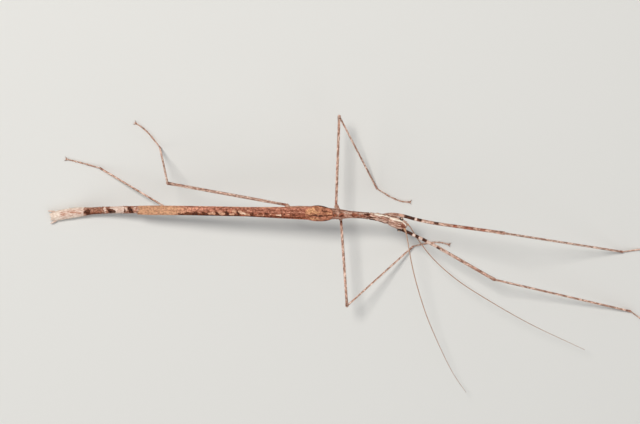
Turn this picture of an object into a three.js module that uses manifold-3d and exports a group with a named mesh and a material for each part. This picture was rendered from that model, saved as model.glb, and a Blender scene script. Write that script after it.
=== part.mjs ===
// A winged stick insect, standing: a slender brown male with short wing covers, folded hind wings
// along the front half of its abdomen, and a pale tail that rests on the ground.
// Millimetres. +X points to the head, +Y to the insect's left, +Z up. Feet and tail stand on z = 0.

import * as THREE from 'three';
import * as BufferGeometryUtils from 'three/addons/utils/BufferGeometryUtils.js';
import Module from 'manifold-3d';

const wasm = await Module();
wasm.setup();

// ---------- driving dimensions ----------

const GROUND = 0;
const CUT = 0.06; // the thin cut that parts two neighbours
const SIDES = [{ name: 'left', sign: 1 }, { name: 'right', sign: -1 }];

// The trunk from the tail's tip to the neck. Each part has its length and its girths, as
// [share of its length, width, depth below the axis, height above it].
const WINGED = 0.42; // height above the axis where folded wings lie on the back
const TRUNK = [
  { node: 'abdomen_10', length: 4.2, color: 0xd9cdbb, girths: [
    [0, 1.2, 0.55, 0.5], [0.18, 1.8, 0.8, 0.75], [0.45, 2.26, 1.0, 0.85], [1, 2.32, 1.02, 0.88]] },
  { node: 'abdomen_9', length: 3.4, color: 0xd6c8b4, girths: [
    [0, 2.3, 1.0, 0.88], [0.5, 2.22, 0.98, 0.86], [1, 2.0, 0.95, 0.82]] },
  { node: 'abdomen_8', length: 4.3, color: 0x8a5a44, girths: [
    [0, 1.96, 0.92, 0.8], [0.35, 1.62, 0.82, 0.74], [1, 1.52, 0.76, 0.7]] },
  { node: 'abdomen_7', length: 4.7, color: 0xb59a82, girths: [
    [0, 1.58, 0.78, 0.7], [0.5, 1.5, 0.74, 0.68], [1, 1.62, 0.78, 0.7]] },
  { node: 'abdomen_6', length: 7.4, color: 0xa58870, girths: [
    [0, 1.66, 0.8, 0.7], [0.33, 1.62, 0.78, 0.7], [0.4, 1.62, 0.78, WINGED], [1, 1.66, 0.8, WINGED]] },
  ...[5, 4, 3, 2].map((number) => ({ node: `abdomen_${number}`, length: 7.3, color: 0x95654e, girths: [
    [0, 1.7, 0.82, WINGED], [0.5, 1.62, 0.8, WINGED], [1, 1.7, 0.84, WINGED]] })),
  { node: 'metathorax', length: 11.6, color: 0x96604a, girths: [
    [0, 2.2, 0.94, WINGED], [0.12, 2.75, 1.06, 0.44], [0.3, 3, 1.12, 0.45], [0.6, 3, 1.16, 0.5],
    [0.85, 2.6, 1.1, 0.55], [1, 2.35, 1.02, 0.8]] },
  { node: 'mesothorax', length: 7.4, color: 0xb0806a, girths: [
    [0, 2.34, 1.02, 0.86], [0.16, 2.12, 0.94, 0.82], [0.42, 1.58, 0.8, 0.74], [0.8, 1.4, 0.74, 0.7],
    [1, 1.5, 0.76, 0.72]] },
  { node: 'prothorax', length: 4.3, color: 0xb98d78, girths: [
    [0, 1.48, 0.74, 0.7], [0.35, 1.72, 0.82, 0.76], [0.8, 1.84, 0.84, 0.78], [1, 1.6, 0.76, 0.7]] },
];

// The trunk's axis from tail to neck: level over the legs, sinking to the ground behind.
const SPINE = new THREE.CatmullRomCurve3([
  [-61.2, -2.9, 0.8], [-55.7, -1.9, 1.1], [-49, -1.05, 2.7], [-36.8, -0.35, 6.2], [-20.2, 0.05, 9.9],
  [-7.8, -0.05, 11.1], [-2.2, -0.15, 11.3], [3.8, -0.4, 11.3], [9.4, -0.72, 11.1], [13.2, -1.25, 10.85],
  [15.3, -1.9, 10.6],
].map((point) => new THREE.Vector3(...point)));

const HEAD = {
  length: 4.5, yaw: -17.5, roll: 10, // turned to the insect's right, its left cheek up
  girths: [[0, 1.24, 0.6, 0.56], [0.08, 1.72, 0.82, 0.74], [0.35, 2.16, 0.98, 0.9], [0.62, 2.3, 1.06, 0.94],
    [0.8, 2.1, 1.08, 0.84], [0.93, 1.6, 1.02, 0.56], [1, 0.96, 0.88, 0.2]],
};
const EYE = { along: 2.86, side: 1.12, up: 0.24, length: 0.94, width: 0.8, height: 0.9 };
const CERCUS = { length: 1.5, width: 0.55, tip: 0.28, splay: 24 };
const TEGMEN = { back: -3.3, front: 2.9, halfWidth: 1.8, bottom: 1.02, thickness: 0.5 };
const WING = {
  tip: -40.9, lag: 0.3, slant: 0.6, front: 0.4, // the right tip lies behind the left, both cut aslant
  tipHalfWidth: 0.98, halfWidth: 1.06, rootHalfWidth: 1.56, bottom: 0.47, thickness: 0.5,
};

// Antennae as routes of points, in two lengths after the thick first joints.
const ANTENNA = { base: 0.56, thick: 0.5, thin: 0.46, cuts: [0.04, 0.5] };
const ANTENNA_ROUTES = {
  left: [[18.9, -2.6, 10.8], [19.8, -3.1, 10.3], [22.1, -6.9, 7.7], [25.6, -11.4, 7.4], [31, -16.2, 7.6],
    [38, -20.85, 7.4], [47.7, -26.6, 6.5], [60.5, -33.1, 4.6]],
  right: [[18.6, -3.4, 10.75], [19.1, -4.2, 10.75], [19.6, -6.4, 10.75], [20.3, -10.4, 10.2],
    [21.2, -14.6, 9.4], [22.9, -20.7, 8.2], [25, -26.7, 7], [30.3, -38.3, 5], [33.5, -43.2, 4.2]],
};

// Legs. Lengths and girths are shared by a pair, and each leg has its own stance: yaw is the
// heading from +X towards +Y, pitch is the rise. The tibia's slope follows, as the foot is down.
// A front femur is bent round the head: bend is [share of the length, offset to the midline].
const PAIRS = {
  front: { femur: 29.2, tibia: 34.2, tarsus: 9.4, femurRoot: 0.52, femurMid: 0.78, femurEnd: 0.82,
    tibiaWidth: 0.54, from: [12.9, -1.1, 10.5],
    bend: [[0, 0], [0.14, 0.06], [0.3, 0.35], [0.44, 0.46], [0.6, 0.34], [0.93, 0.03], [1, 0]] },
  mid: { femur: 20, tibia: 21.2, tarsus: 8.3, femurRoot: 0.6, femurMid: 0.68, femurEnd: 0.82,
    tibiaWidth: 0.5, from: [4.9, -0.4, 10.9] },
  hind: { femur: 28.3, tibia: 19.5, tarsus: 7.8, femurRoot: 0.62, femurMid: 0.74, femurEnd: 0.78,
    tibiaWidth: 0.5, from: [-6, -0.1, 10.7] },
};
const LEGS = [
  { pair: 'front', side: 'left', hip: [13.1, -0.1, 9.7], femur: [-7, 17], tibia: -15, tarsus: [7, 4] },
  { pair: 'front', side: 'right', hip: [13.7, -1.9, 9.5], femur: [-28.5, -1], tibia: -16,
    tarsus: [-37, -33] },
  { pair: 'mid', side: 'left', hip: [3.6, 1.3, 9.7], femur: [88, -3.5], tibia: -64, tarsus: [-33, -4] },
  { pair: 'mid', side: 'right', hip: [4.7, -1.9, 9.7], femur: [-86, -1.5], tibia: 38.5, tarsus: [12, -16] },
  { pair: 'hind', side: 'left', hip: [-7.6, 1.4, 9.7], femur: [166, 19.5], tibia: 118.5,
    tarsus: [128, 148] },
  { pair: 'hind', side: 'right', hip: [-5.4, -1.5, 9.4], femur: [178.8, -9], tibia: 151,
    tarsus: [165, 166] },
];
const ANKLE_HEIGHT = 0.55;
const COXA_WIDTH = 1;
const TARSUS = {
  waist: 0.38, axisHeight: 0.2, // low enough that the wide places are flat underneath
  joints: [0.42, 0.2, 0.13, 0.09, 0.16], // each joint's share of the foot, from the ankle
  firstStations: [[0.25, 0.4], [0.5, 0.48], [0.94, 0.52]], // [share of the joint, width]
  stations: [[0.08, 0.38], [0.4, 0.48], [0.92, 0.52]],
};
const CLAW = { length: 0.75, width: 0.2, spread: 38 };

const ROUGHNESS = 0.62;
const COLORS = {
  head: 0xb98a76, eye: 0x5a3a30, cercus: 0xd9b9a6, tegmen: 0xa9714c, wing: 0xa9795c, antenna: 0x8c6650,
  coxa: 0x96564a, femur: 0xb08a72, tibia: 0xc2a48e, tarsus: 0xb58e72,
};

// ---------- solids from rings ----------

const UP = new THREE.Vector3(0, 0, 1);
const toVector = (point) => new THREE.Vector3(...point);
const degrees = THREE.MathUtils.degToRad;

// The unit vector of a heading and a rise, both in degrees.
function heading(yaw, pitch = 0) {
  return new THREE.Vector3(1, 0, 0).applyEuler(new THREE.Euler(0, -degrees(pitch), degrees(yaw), 'ZYX'));
}

// A closed skin over rings of equal count. A ring runs from its side towards its top.
function loft(rings) {
  const count = rings[0].length;
  const points = rings.flat();
  const index = [];
  for (let i = 0; i + 1 < rings.length; i++) {
    for (let j = 0; j < count; j++) {
      const a = i * count + j;
      const b = i * count + ((j + 1) % count);
      index.push(a, b, b + count, a, b + count, a + count);
    }
  }
  for (const i of [0, rings.length - 1]) {
    const centre = points.length;
    points.push(rings[i].reduce((sum, point) => sum.add(point), new THREE.Vector3()).divideScalar(count));
    for (let j = 0; j < count; j++) {
      const a = i * count + j;
      const b = i * count + ((j + 1) % count);
      index.push(...(i === 0 ? [b, a, centre] : [a, b, centre]));
    }
  }
  const geometry = new THREE.BufferGeometry();
  const positions = points.flatMap((point) => point.toArray());
  geometry.setAttribute('position', new THREE.Float32BufferAttribute(positions, 3));
  geometry.setIndex(index);
  return geometry;
}

// An oval ring round a point of an axis, with its own depth below and height above. grow widens it
// all round, and a piece that lies on the ground passes the ground's height.
function ovalRing({ centre, tangent, width, below, above, count, grow = 0, ground = -Infinity }) {
  const side = new THREE.Vector3().crossVectors(UP, tangent).normalize();
  const top = new THREE.Vector3().crossVectors(tangent, side).normalize();
  const ring = [];
  for (let j = 0; j < count; j++) {
    const angle = (2 * Math.PI * (j + 0.5)) / count;
    const reach = Math.sin(angle) > 0 ? above + grow : below + grow;
    const point = centre.clone()
      .addScaledVector(side, (width / 2 + grow) * Math.cos(angle))
      .addScaledVector(top, reach * Math.sin(angle));
    point.z = Math.max(point.z, ground);
    ring.push(point);
  }
  return ring;
}

// A girth table read at a share of the length.
function girthAt(girths, share) {
  const last = girths.length - 1;
  let i = 0;
  while (i < last - 1 && girths[i + 1][0] < share) i++;
  const [start, end] = [girths[i], girths[i + 1]];
  const t = THREE.MathUtils.clamp((share - start[0]) / (end[0] - start[0]), 0, 1);
  return start.map((value, k) => THREE.MathUtils.lerp(value, end[k], t));
}

// A round limb along points, one girth for each. A point's ring faces the mean of its two runs.
function limb(points, widths, { count = 8, grow = 0, ground } = {}) {
  const rings = points.map((centre, i) => {
    const before = points[Math.max(i - 1, 0)];
    const after = points[Math.min(i + 1, points.length - 1)];
    const tangent = new THREE.Vector3().subVectors(after, before).normalize();
    const half = widths[i] / 2;
    return ovalRing({ centre, tangent, width: widths[i], below: half, above: half, count, grow, ground });
  });
  return loft(rings);
}

// A straight limb given by shares of its length and the width at each.
function rod(start, end, stations, options) {
  const points = stations.map(([share]) => new THREE.Vector3().lerpVectors(start, end, share));
  return limb(points, stations.map(([, width]) => width), options);
}

// ---------- joins and cuts ----------

function toSolid(geometry) {
  const bare = geometry.clone();
  bare.deleteAttribute('normal');
  bare.deleteAttribute('uv');
  const merged = BufferGeometryUtils.mergeVertices(bare, 1e-5);
  return new wasm.Manifold(new wasm.Mesh({
    numProp: 3,
    vertProperties: merged.attributes.position.array,
    triVerts: Uint32Array.from(merged.index.array),
  }));
}

function toGeometry(solid) {
  const { vertProperties, triVerts } = solid.getMesh();
  const geometry = new THREE.BufferGeometry();
  geometry.setAttribute('position', new THREE.Float32BufferAttribute(vertProperties, 3));
  geometry.setIndex(Array.from(triVerts));
  return geometry;
}

// A shape less its neighbours, which come grown by the cut.
function fitted(shape, neighbours) {
  const solid = neighbours.reduce((rest, neighbour) => rest.subtract(toSolid(neighbour)), toSolid(shape));
  return toGeometry(solid);
}

function addMesh(group, name, geometry, color) {
  geometry.computeVertexNormals();
  const material = new THREE.MeshStandardMaterial({ color, roughness: ROUGHNESS, metalness: 0 });
  const mesh = new THREE.Mesh(geometry, material);
  mesh.name = name;
  group.add(mesh);
  return mesh;
}

// ---------- trunk ----------

const TRUNK_SIDES = 14;
const trunkLength = TRUNK.reduce((sum, part) => sum + part.length, 0);
const spineLength = SPINE.getLength();

// The trunk's axis at a distance from the tail's tip, given in the trunk's own lengths.
function spineAt(distance) {
  const share = THREE.MathUtils.clamp(distance / trunkLength, 0, 1);
  return { centre: SPINE.getPointAt(share), tangent: SPINE.getTangentAt(share) };
}

function trunkPiece(part, start, grow = 0) {
  const gap = CUT / 2 - grow;
  const shares = part.girths.map(([share]) => share);
  const free = (share) => part.length > 6 && !shares.some((given) => Math.abs(given - share) < 0.1);
  const rings = [...shares, ...[0.25, 0.75].filter(free)].sort((a, b) => a - b).map((share) => {
    const distance = THREE.MathUtils.lerp(start + gap, start + part.length - gap, share);
    const [, width, below, above] = girthAt(part.girths, share);
    const axis = spineAt(distance);
    return ovalRing({ ...axis, width, below, above, count: TRUNK_SIDES, grow, ground: GROUND });
  });
  return loft(rings);
}

const trunk = new THREE.Group();
const trunkStart = {};
let reached = 0;
for (const part of TRUNK) {
  trunkStart[part.node] = reached;
  addMesh(trunk, part.node, trunkPiece(part, reached), part.color);
  reached += part.length;
}

// The neighbours that a leg's first joint or the head is cut by.
function grownTrunk(...names) {
  return TRUNK.filter((part) => names.includes(part.node))
    .map((part) => trunkPiece(part, trunkStart[part.node], CUT));
}

for (const { name, sign } of SIDES) {
  const { centre, tangent } = spineAt(0.35);
  const aside = new THREE.Vector3().crossVectors(UP, tangent).multiplyScalar(sign);
  const start = centre.clone().addScaledVector(aside, 0.45).setZ(0.85);
  const along = tangent.clone().negate().applyAxisAngle(UP, -sign * degrees(CERCUS.splay)).setZ(0.02);
  const end = start.clone().addScaledVector(along, CERCUS.length);
  const stations = [[0, CERCUS.width], [0.6, CERCUS.width * 0.9], [0.9, CERCUS.tip * 1.3], [1, CERCUS.tip]];
  const shape = fitted(rod(start, end, stations), grownTrunk('abdomen_10'));
  addMesh(trunk, `cercus_${name}`, shape, COLORS.cercus);
}

// ---------- wing covers and wings ----------

// A leaf over the back, along the trunk's axis, from the midline out to reach(t). Its underside
// is an arch of the given height, and it thins to its outer edge. slant holds back the inner
// corner of its rear end.
function leaf({ from, to, steps, reach, bottom, thickness, sign, slant = 0, grow = 0 }) {
  const edges = [0, 0.3, 0.6, 0.85, 1];
  const rings = [];
  for (let i = 0; i <= steps; i++) {
    const t = i / steps;
    const { centre, tangent } = axisAtX(THREE.MathUtils.lerp(from - grow, to + grow, t));
    const side = new THREE.Vector3().crossVectors(UP, tangent).normalize();
    const top = new THREE.Vector3().crossVectors(tangent, side).normalize();
    const half = reach(t) + 2 * grow;
    const at = (share, height) => centre.clone()
      .addScaledVector(tangent, i === 0 ? slant * (1 - share) : 0)
      .addScaledVector(side, sign * (CUT / 2 - grow + share * half))
      .addScaledVector(top, height);
    const arch = (share) => Math.sqrt(1 - 0.6 * share * share * Math.min(1, half));
    const low = bottom(t) - grow;
    const high = bottom(t) + thickness(t) + grow;
    const under = edges.map((share) => at(share, low * arch(share)));
    const over = edges.map((share) => at(share, high * arch(share) * (1 - 0.12 * share ** 4)));
    rings.push(sign > 0 ? [...under, ...over.reverse()] : [...over, ...under.reverse()]);
  }
  return loft(rings);
}

// The trunk's axis where it passes a given x.
function axisAtX(x) {
  let [low, high] = [0, 1];
  for (let i = 0; i < 30; i++) {
    const middle = (low + high) / 2;
    if (SPINE.getPointAt(middle).x < x) low = middle;
    else high = middle;
  }
  return { centre: SPINE.getPointAt(low), tangent: SPINE.getTangentAt(low) };
}

// From 0 at a leaf's tip to 1 where its full width is reached, like the end of an ellipse.
const roundedTip = (t) => Math.sqrt(1 - (1 - Math.min(1, t)) ** 2);

function wingShape(sign, grow = 0) {
  const { tip, lag, slant, front, tipHalfWidth, halfWidth, rootHalfWidth, bottom, thickness } = WING;
  const widths = [[0, tipHalfWidth], [0.07, halfWidth], [0.6, halfWidth], [1, rootHalfWidth]];
  return leaf({
    from: sign > 0 ? tip : tip - lag, to: front, steps: 13, sign, slant, grow,
    reach: (t) => girthAt(widths, t)[1],
    bottom: () => bottom,
    thickness: (t) => thickness * (0.5 + 0.5 * roundedTip(t * 9)),
  });
}

function tegmenShape(sign) {
  const { back, front, halfWidth, bottom, thickness } = TEGMEN;
  return leaf({
    from: back, to: front, steps: 9, sign,
    reach: (t) => halfWidth * Math.sin(Math.PI * THREE.MathUtils.lerp(0.2, 0.84, t)) ** 0.8,
    bottom: (t) => bottom + 0.1 * Math.sin(Math.PI * t),
    thickness: (t) => thickness * (0.5 + 0.5 * Math.sin(Math.PI * Math.min(1, t + 0.12)) ** 0.5),
  });
}

const wings = new THREE.Group();
const winged = ['abdomen_6', 'abdomen_5', 'abdomen_4', 'abdomen_3', 'abdomen_2', 'metathorax'];
const grownWings = SIDES.map(({ sign }) => wingShape(sign, CUT));
for (const { name, sign } of SIDES) {
  const cover = fitted(tegmenShape(sign), [...grownTrunk('metathorax', 'mesothorax'), ...grownWings]);
  addMesh(wings, `tegmen_${name}`, cover, COLORS.tegmen);
  addMesh(wings, `wing_${name}`, fitted(wingShape(sign), grownTrunk(...winged)), COLORS.wing);
}

// ---------- head ----------

const neck = spineAt(trunkLength).centre;
const head = new THREE.Group();
head.position.copy(neck);
head.rotation.set(degrees(HEAD.roll), 0, degrees(HEAD.yaw), 'ZYX');
head.updateMatrixWorld();
const toHead = head.matrixWorld.clone().invert();
const ALONG = new THREE.Vector3(1, 0, 0);

function headShape(grow = 0) {
  return loft(HEAD.girths.map(([share, width, below, above]) => {
    const centre = new THREE.Vector3(CUT + share * (HEAD.length - CUT) + (share === 1 ? grow : 0), 0, 0);
    return ovalRing({ centre, tangent: ALONG, width, below, above, count: 16, grow });
  }));
}

function eyeShape(sign, grow = 0) {
  const ball = new THREE.SphereGeometry(0.5, 12, 8);
  ball.scale(EYE.length + 2 * grow, EYE.width + 2 * grow, EYE.height + 2 * grow);
  ball.translate(EYE.along, sign * EYE.side, EYE.up);
  return ball;
}

addMesh(head, 'head', fitted(headShape(), SIDES.map(({ sign }) => eyeShape(sign, CUT))), COLORS.head);
for (const { name, sign } of SIDES) {
  addMesh(head, `eye_${name}`, toGeometry(toSolid(eyeShape(sign))), COLORS.eye);
}

// Each antenna is a thick base by the head, then two thin lengths that end in a fine tip.
for (const { name } of SIDES) {
  const points = ANTENNA_ROUTES[name].map((point) => toVector(point).applyMatrix4(toHead));
  const route = new THREE.CatmullRomCurve3(points);
  const bounds = [0, ...ANTENNA.cuts, 1];
  const gap = CUT / 2 / route.getLength();
  ['base', 'mid', 'tip'].forEach((part, k) => {
    const steps = k === 0 ? 4 : 10;
    const [first, last] = [bounds[k] + (k ? gap : 0), bounds[k + 1] - (k < 2 ? gap : 0)];
    const shares = Array.from({ length: steps + 1 }, (_, i) => first + ((last - first) * i) / steps);
    const widthAt = (t) => (k === 0 ? ANTENNA.base : THREE.MathUtils.lerp(ANTENNA.thick, ANTENNA.thin, t));
    const shape = limb(shares.map((t) => route.getPointAt(t)), shares.map(widthAt), { count: 6 });
    const geometry = k === 0 ? fitted(shape, [headShape(CUT)]) : shape;
    addMesh(head, `antenna_${name}_${part}`, geometry, COLORS.antenna);
  });
}

// ---------- legs ----------

function femurShape({ pair, sign, hip, knee }, grow = 0) {
  const { femur, femurRoot, femurMid, femurEnd, bend } = pair;
  const ball = femurEnd / 2 / femur;
  const inBend = bend ? [[0.3, femurMid], [0.44, femurMid]] : [];
  const stations = [
    [0, femurRoot], [0.05, femurRoot], [0.14, femurMid], ...inBend, [0.6, femurMid], [0.93, femurEnd],
    [1, femurEnd], [1 + 0.55 * ball, femurEnd * 0.82], [1 + ball, femurEnd * 0.4]];
  const direction = new THREE.Vector3().subVectors(knee, hip).normalize();
  const inward = new THREE.Vector3().crossVectors(direction, UP).normalize().multiplyScalar(sign);
  const points = stations.map(([share]) => new THREE.Vector3().lerpVectors(hip, knee, share)
    .addScaledVector(inward, bend ? girthAt(bend, share)[1] : 0));
  return limb(points, stations.map(([, width]) => width), { grow });
}

function tibiaShape(pair, knee, ankle, grow = 0) {
  const { tibia, tibiaWidth } = pair;
  const ball = tibiaWidth / 2 / tibia;
  const stations = [
    [0, tibiaWidth * 1.15], [0.05, tibiaWidth], [0.5, tibiaWidth], [0.96, tibiaWidth * 1.05],
    [1, tibiaWidth], [1 + 0.8 * ball, tibiaWidth * 0.6]];
  return rod(knee, ankle, stations, { grow });
}

function coxaShape(from, hip, grow = 0) {
  const run = from.distanceTo(hip);
  const stations = [
    [0, COXA_WIDTH], [0.8, COXA_WIDTH * 0.95], [1, COXA_WIDTH * 0.8], [1 + 0.3 / run, COXA_WIDTH * 0.5]];
  return rod(from, hip, stations, { grow });
}

// Five joints with a waist between them, flat where they lie on the ground, and two claws.
function tarsusShape(pair, ankle, [firstYaw, lastYaw]) {
  const points = [ankle.clone()];
  const widths = [TARSUS.waist];
  const place = ankle.clone();
  let yaw = firstYaw;
  TARSUS.joints.forEach((share, i) => {
    const start = place.clone();
    yaw = THREE.MathUtils.lerp(firstYaw, lastYaw, i / (TARSUS.joints.length - 1));
    place.addScaledVector(heading(yaw), pair.tarsus * share).setZ(TARSUS.axisHeight);
    for (const [along, width] of i === 0 ? TARSUS.firstStations : TARSUS.stations) {
      points.push(new THREE.Vector3().lerpVectors(start, place, along).setZ(TARSUS.axisHeight));
      widths.push(width);
    }
  });
  const sole = toSolid(limb(points, widths, { ground: GROUND }));
  const claws = SIDES.map(({ sign }) => {
    const start = place.clone().addScaledVector(heading(yaw), -0.25);
    const end = place.clone().addScaledVector(heading(yaw + sign * CLAW.spread), CLAW.length);
    const stations = [[0, CLAW.width * 1.4], [0.6, CLAW.width], [1, CLAW.width * 0.5]];
    return toSolid(rod(start, end, stations, { count: 6, ground: GROUND }));
  });
  return toGeometry(claws.reduce((foot, claw) => foot.add(claw), sole));
}

const legs = new THREE.Group();
for (const leg of LEGS) {
  const pair = PAIRS[leg.pair];
  const hip = toVector(leg.hip);
  const knee = hip.clone().addScaledVector(heading(...leg.femur), pair.femur);
  const slope = THREE.MathUtils.radToDeg(Math.asin((knee.z - ANKLE_HEIGHT) / pair.tibia));
  const ankle = knee.clone().addScaledVector(heading(leg.tibia, -slope), pair.tibia);
  const name = `${leg.pair}_leg_${leg.side}`;
  const sign = leg.side === 'left' ? 1 : -1;
  const root = toVector(pair.from).add(new THREE.Vector3(0, sign * 0.35, 0));
  const body = grownTrunk('prothorax', 'mesothorax', 'metathorax', 'abdomen_2');
  const one = new THREE.Group();
  const femur = { pair, sign, hip, knee };
  const joints = {
    coxa: fitted(coxaShape(root, hip), body),
    femur: fitted(femurShape(femur), [coxaShape(root, hip, CUT)]),
    tibia: fitted(tibiaShape(pair, knee, ankle), [femurShape(femur, CUT)]),
    tarsus: fitted(tarsusShape(pair, ankle, leg.tarsus), [tibiaShape(pair, knee, ankle, CUT)]),
  };
  for (const [joint, shape] of Object.entries(joints)) {
    addMesh(one, `${name}_${joint}`, shape, COLORS[joint]);
  }
  legs.add(one);
}

// ---------- the insect, with its origin on the ground under the middle of its box ----------

const insect = new THREE.Group();
insect.add(trunk, wings, head, legs);
const box = new THREE.Box3().setFromObject(insect, true);
const middle = box.getCenter(new THREE.Vector3());
insect.position.set(-middle.x, -middle.y, 0);

export default insect;
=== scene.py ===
"""A winged stick insect, life size, standing on its six feet and the tip of its tail.

All measures are millimetres in the insect's own axes: +X to the head, +Y to its left, +Z up, with
the ground at z = 0. They become metres where a mesh is made.
"""

import math

import bpy
import numpy as np
from mathutils import Matrix, Vector, noise


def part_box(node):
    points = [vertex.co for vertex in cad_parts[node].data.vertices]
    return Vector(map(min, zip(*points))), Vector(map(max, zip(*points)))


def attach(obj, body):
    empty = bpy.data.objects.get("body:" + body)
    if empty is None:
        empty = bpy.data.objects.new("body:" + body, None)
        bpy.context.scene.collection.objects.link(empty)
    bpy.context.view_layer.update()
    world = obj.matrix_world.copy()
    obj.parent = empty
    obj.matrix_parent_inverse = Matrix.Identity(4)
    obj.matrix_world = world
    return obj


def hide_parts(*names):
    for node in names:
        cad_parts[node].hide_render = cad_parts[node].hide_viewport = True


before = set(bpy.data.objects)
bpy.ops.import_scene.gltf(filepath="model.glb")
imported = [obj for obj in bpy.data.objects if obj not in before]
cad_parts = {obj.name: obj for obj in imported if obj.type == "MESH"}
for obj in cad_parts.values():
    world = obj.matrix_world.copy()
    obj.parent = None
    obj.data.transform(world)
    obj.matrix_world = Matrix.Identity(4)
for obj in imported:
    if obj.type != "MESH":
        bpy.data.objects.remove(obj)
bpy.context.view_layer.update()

# ---------------------------------------------------------------- measures

MM = 0.001
UP = np.array([0.0, 0.0, 1.0])
SIDES = {"left": 1, "right": -1}

# Trunk: stretches from the tail's tip, each with its length and its girths as
# (share of the length, width, depth below the axis, height above it).
BACK = 0.72  # height of the back where the wings lie on it
STRETCHES = {
    "abdomen_10": (4.2, [(0, 1.4, 0.5, 0.42), (0.06, 1.74, 0.66, 0.6), (0.18, 2.04, 0.8, 0.76),
                         (0.45, 2.28, 0.98, 0.85), (1, 2.34, 1.02, 0.88)]),
    "abdomen_9": (3.4, [(0, 2.32, 1.0, 0.88), (0.5, 2.24, 0.98, 0.86), (1, 2.0, 0.95, 0.82)]),
    "abdomen_8": (4.3, [(0, 1.96, 0.92, 0.8), (0.35, 1.62, 0.82, 0.74), (1, 1.52, 0.76, 0.7)]),
    "abdomen_7": (4.7, [(0, 1.58, 0.78, 0.7), (0.5, 1.5, 0.74, 0.68), (1, 1.62, 0.78, 0.7)]),
    "abdomen_6": (7.4, [(0, 1.66, 0.8, 0.7), (0.4, 1.62, 0.78, BACK), (1, 1.66, 0.8, BACK)]),
    "abdomen_5": (7.3, [(0, 1.7, 0.82, BACK), (0.5, 1.62, 0.8, BACK), (1, 1.7, 0.84, BACK)]),
    "abdomen_4": (7.3, [(0, 1.7, 0.82, BACK), (0.5, 1.62, 0.8, BACK), (1, 1.7, 0.84, BACK)]),
    "abdomen_3": (7.3, [(0, 1.7, 0.82, BACK), (0.5, 1.66, 0.82, BACK), (1, 1.78, 0.86, BACK)]),
    "abdomen_2": (7.3, [(0, 1.78, 0.84, BACK), (0.5, 1.84, 0.86, BACK), (1, 2.05, 0.92, BACK)]),
    "metathorax": (11.6, [(0, 2.2, 0.94, BACK), (0.12, 2.75, 1.06, 0.74), (0.3, 3.0, 1.12, 0.76),
                          (0.6, 3.0, 1.16, 0.8), (0.85, 2.6, 1.1, 0.82), (1, 2.35, 1.02, 0.84)]),
    "mesothorax": (7.4, [(0, 2.34, 1.02, 0.86), (0.16, 2.12, 0.94, 0.82), (0.42, 1.58, 0.8, 0.74),
                         (0.8, 1.4, 0.74, 0.7), (1, 1.5, 0.76, 0.72)]),
    "prothorax": (4.3, [(0, 1.48, 0.74, 0.7), (0.35, 1.72, 0.82, 0.76), (0.8, 1.9, 0.84, 0.78),
                        (1, 1.76, 0.78, 0.7)]),
}
TRUNK_LENGTH = sum(length for length, _ in STRETCHES.values())
# The trunk's axis, from the tail's tip to the neck.
SPINE = [(-61.2, -2.9, 0.8), (-55.7, -1.9, 1.1), (-49, -1.05, 2.7), (-36.8, -0.35, 6.2),
         (-20.2, 0.05, 9.9), (-7.8, -0.05, 11.1), (-2.2, -0.15, 11.3), (3.8, -0.4, 11.3),
         (9.4, -0.72, 11.1), (13.2, -1.25, 10.85), (15.3, -1.9, 10.6)]

HEAD_LENGTH = 4.5
HEAD_YAW, HEAD_ROLL = -17.5, 10  # turned to the insect's right, its left cheek up
HEAD_GIRTHS = [(0, 1.74, 0.7, 0.64), (0.08, 2.1, 0.86, 0.78), (0.28, 2.52, 0.98, 0.9),
               (0.56, 2.56, 1.06, 0.94), (0.76, 2.14, 1.08, 0.86), (0.9, 1.66, 1.02, 0.6),
               (1, 1.04, 0.88, 0.2)]
SOLID_EYE = (2.86, 1.12, 0.24)  # the solid's left eye: along, aside and up from the neck
EYES = {"left": (2.64, 1.26, 0.32), "right": (2.96, 1.3, 0.44)}
EYE_SIZE = (0.94, 0.9, 0.832)  # length, height and depth
EYE_RINGS, EYE_COUNT = 40, 56
EYE_FACING = {"left": (0.12, 0.75, 0.72), "right": (0.12, -0.56, 0.84)}

# Each feeler's axis, from its root on the head to its tip.
FEELERS = {
    "left": [(18.9, -2.6, 10.8), (19.8, -3.1, 10.3), (22.1, -6.9, 7.7), (25.6, -11.4, 7.4),
             (31, -16.2, 7.6), (38, -20.85, 7.4), (47.7, -26.6, 6.5), (60.5, -33.1, 4.6)],
    "right": [(18.6, -3.4, 10.75), (19.1, -4.2, 10.75), (19.6, -6.4, 10.75), (20.3, -10.4, 10.2),
              (21.2, -14.6, 9.4), (22.9, -20.7, 8.2), (25, -26.7, 7), (30.3, -38.3, 5),
              (33.5, -43.2, 4.2)],
}

# Legs: lengths and girths of a pair, then each leg's stance. Yaw is the heading from +X towards
# +Y and pitch the rise, in degrees. A bend is (share of the femur, offset inwards): a front femur
# is bent round the head.
STRAIGHT = [(0, 0), (1, 0)]
BEND_AHEAD = [(0.44, 0.46), (0.6, 0.34), (0.93, 0.03), (1, 0)]
PAIRS = {
    "front": dict(femur=29.2, tibia=34.2, tarsus=9.4, root=0.54, middle=0.76, end=0.8, shin=0.5,
                  coxa=(12.9, -1.1, 10.5), bend=[(0, 0), (0.14, 0.06), (0.3, 0.35), *BEND_AHEAD]),
    "mid": dict(femur=20, tibia=21.2, tarsus=8.3, root=0.6, middle=0.64, end=0.78, shin=0.42,
                coxa=(4.2, -0.4, 10.9), bend=STRAIGHT),
    "hind": dict(femur=28.3, tibia=19.5, tarsus=7.8, root=0.6, middle=0.7, end=0.76, shin=0.44,
                 coxa=(-6.4, -0.1, 10.7), bend=STRAIGHT),
}
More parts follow.
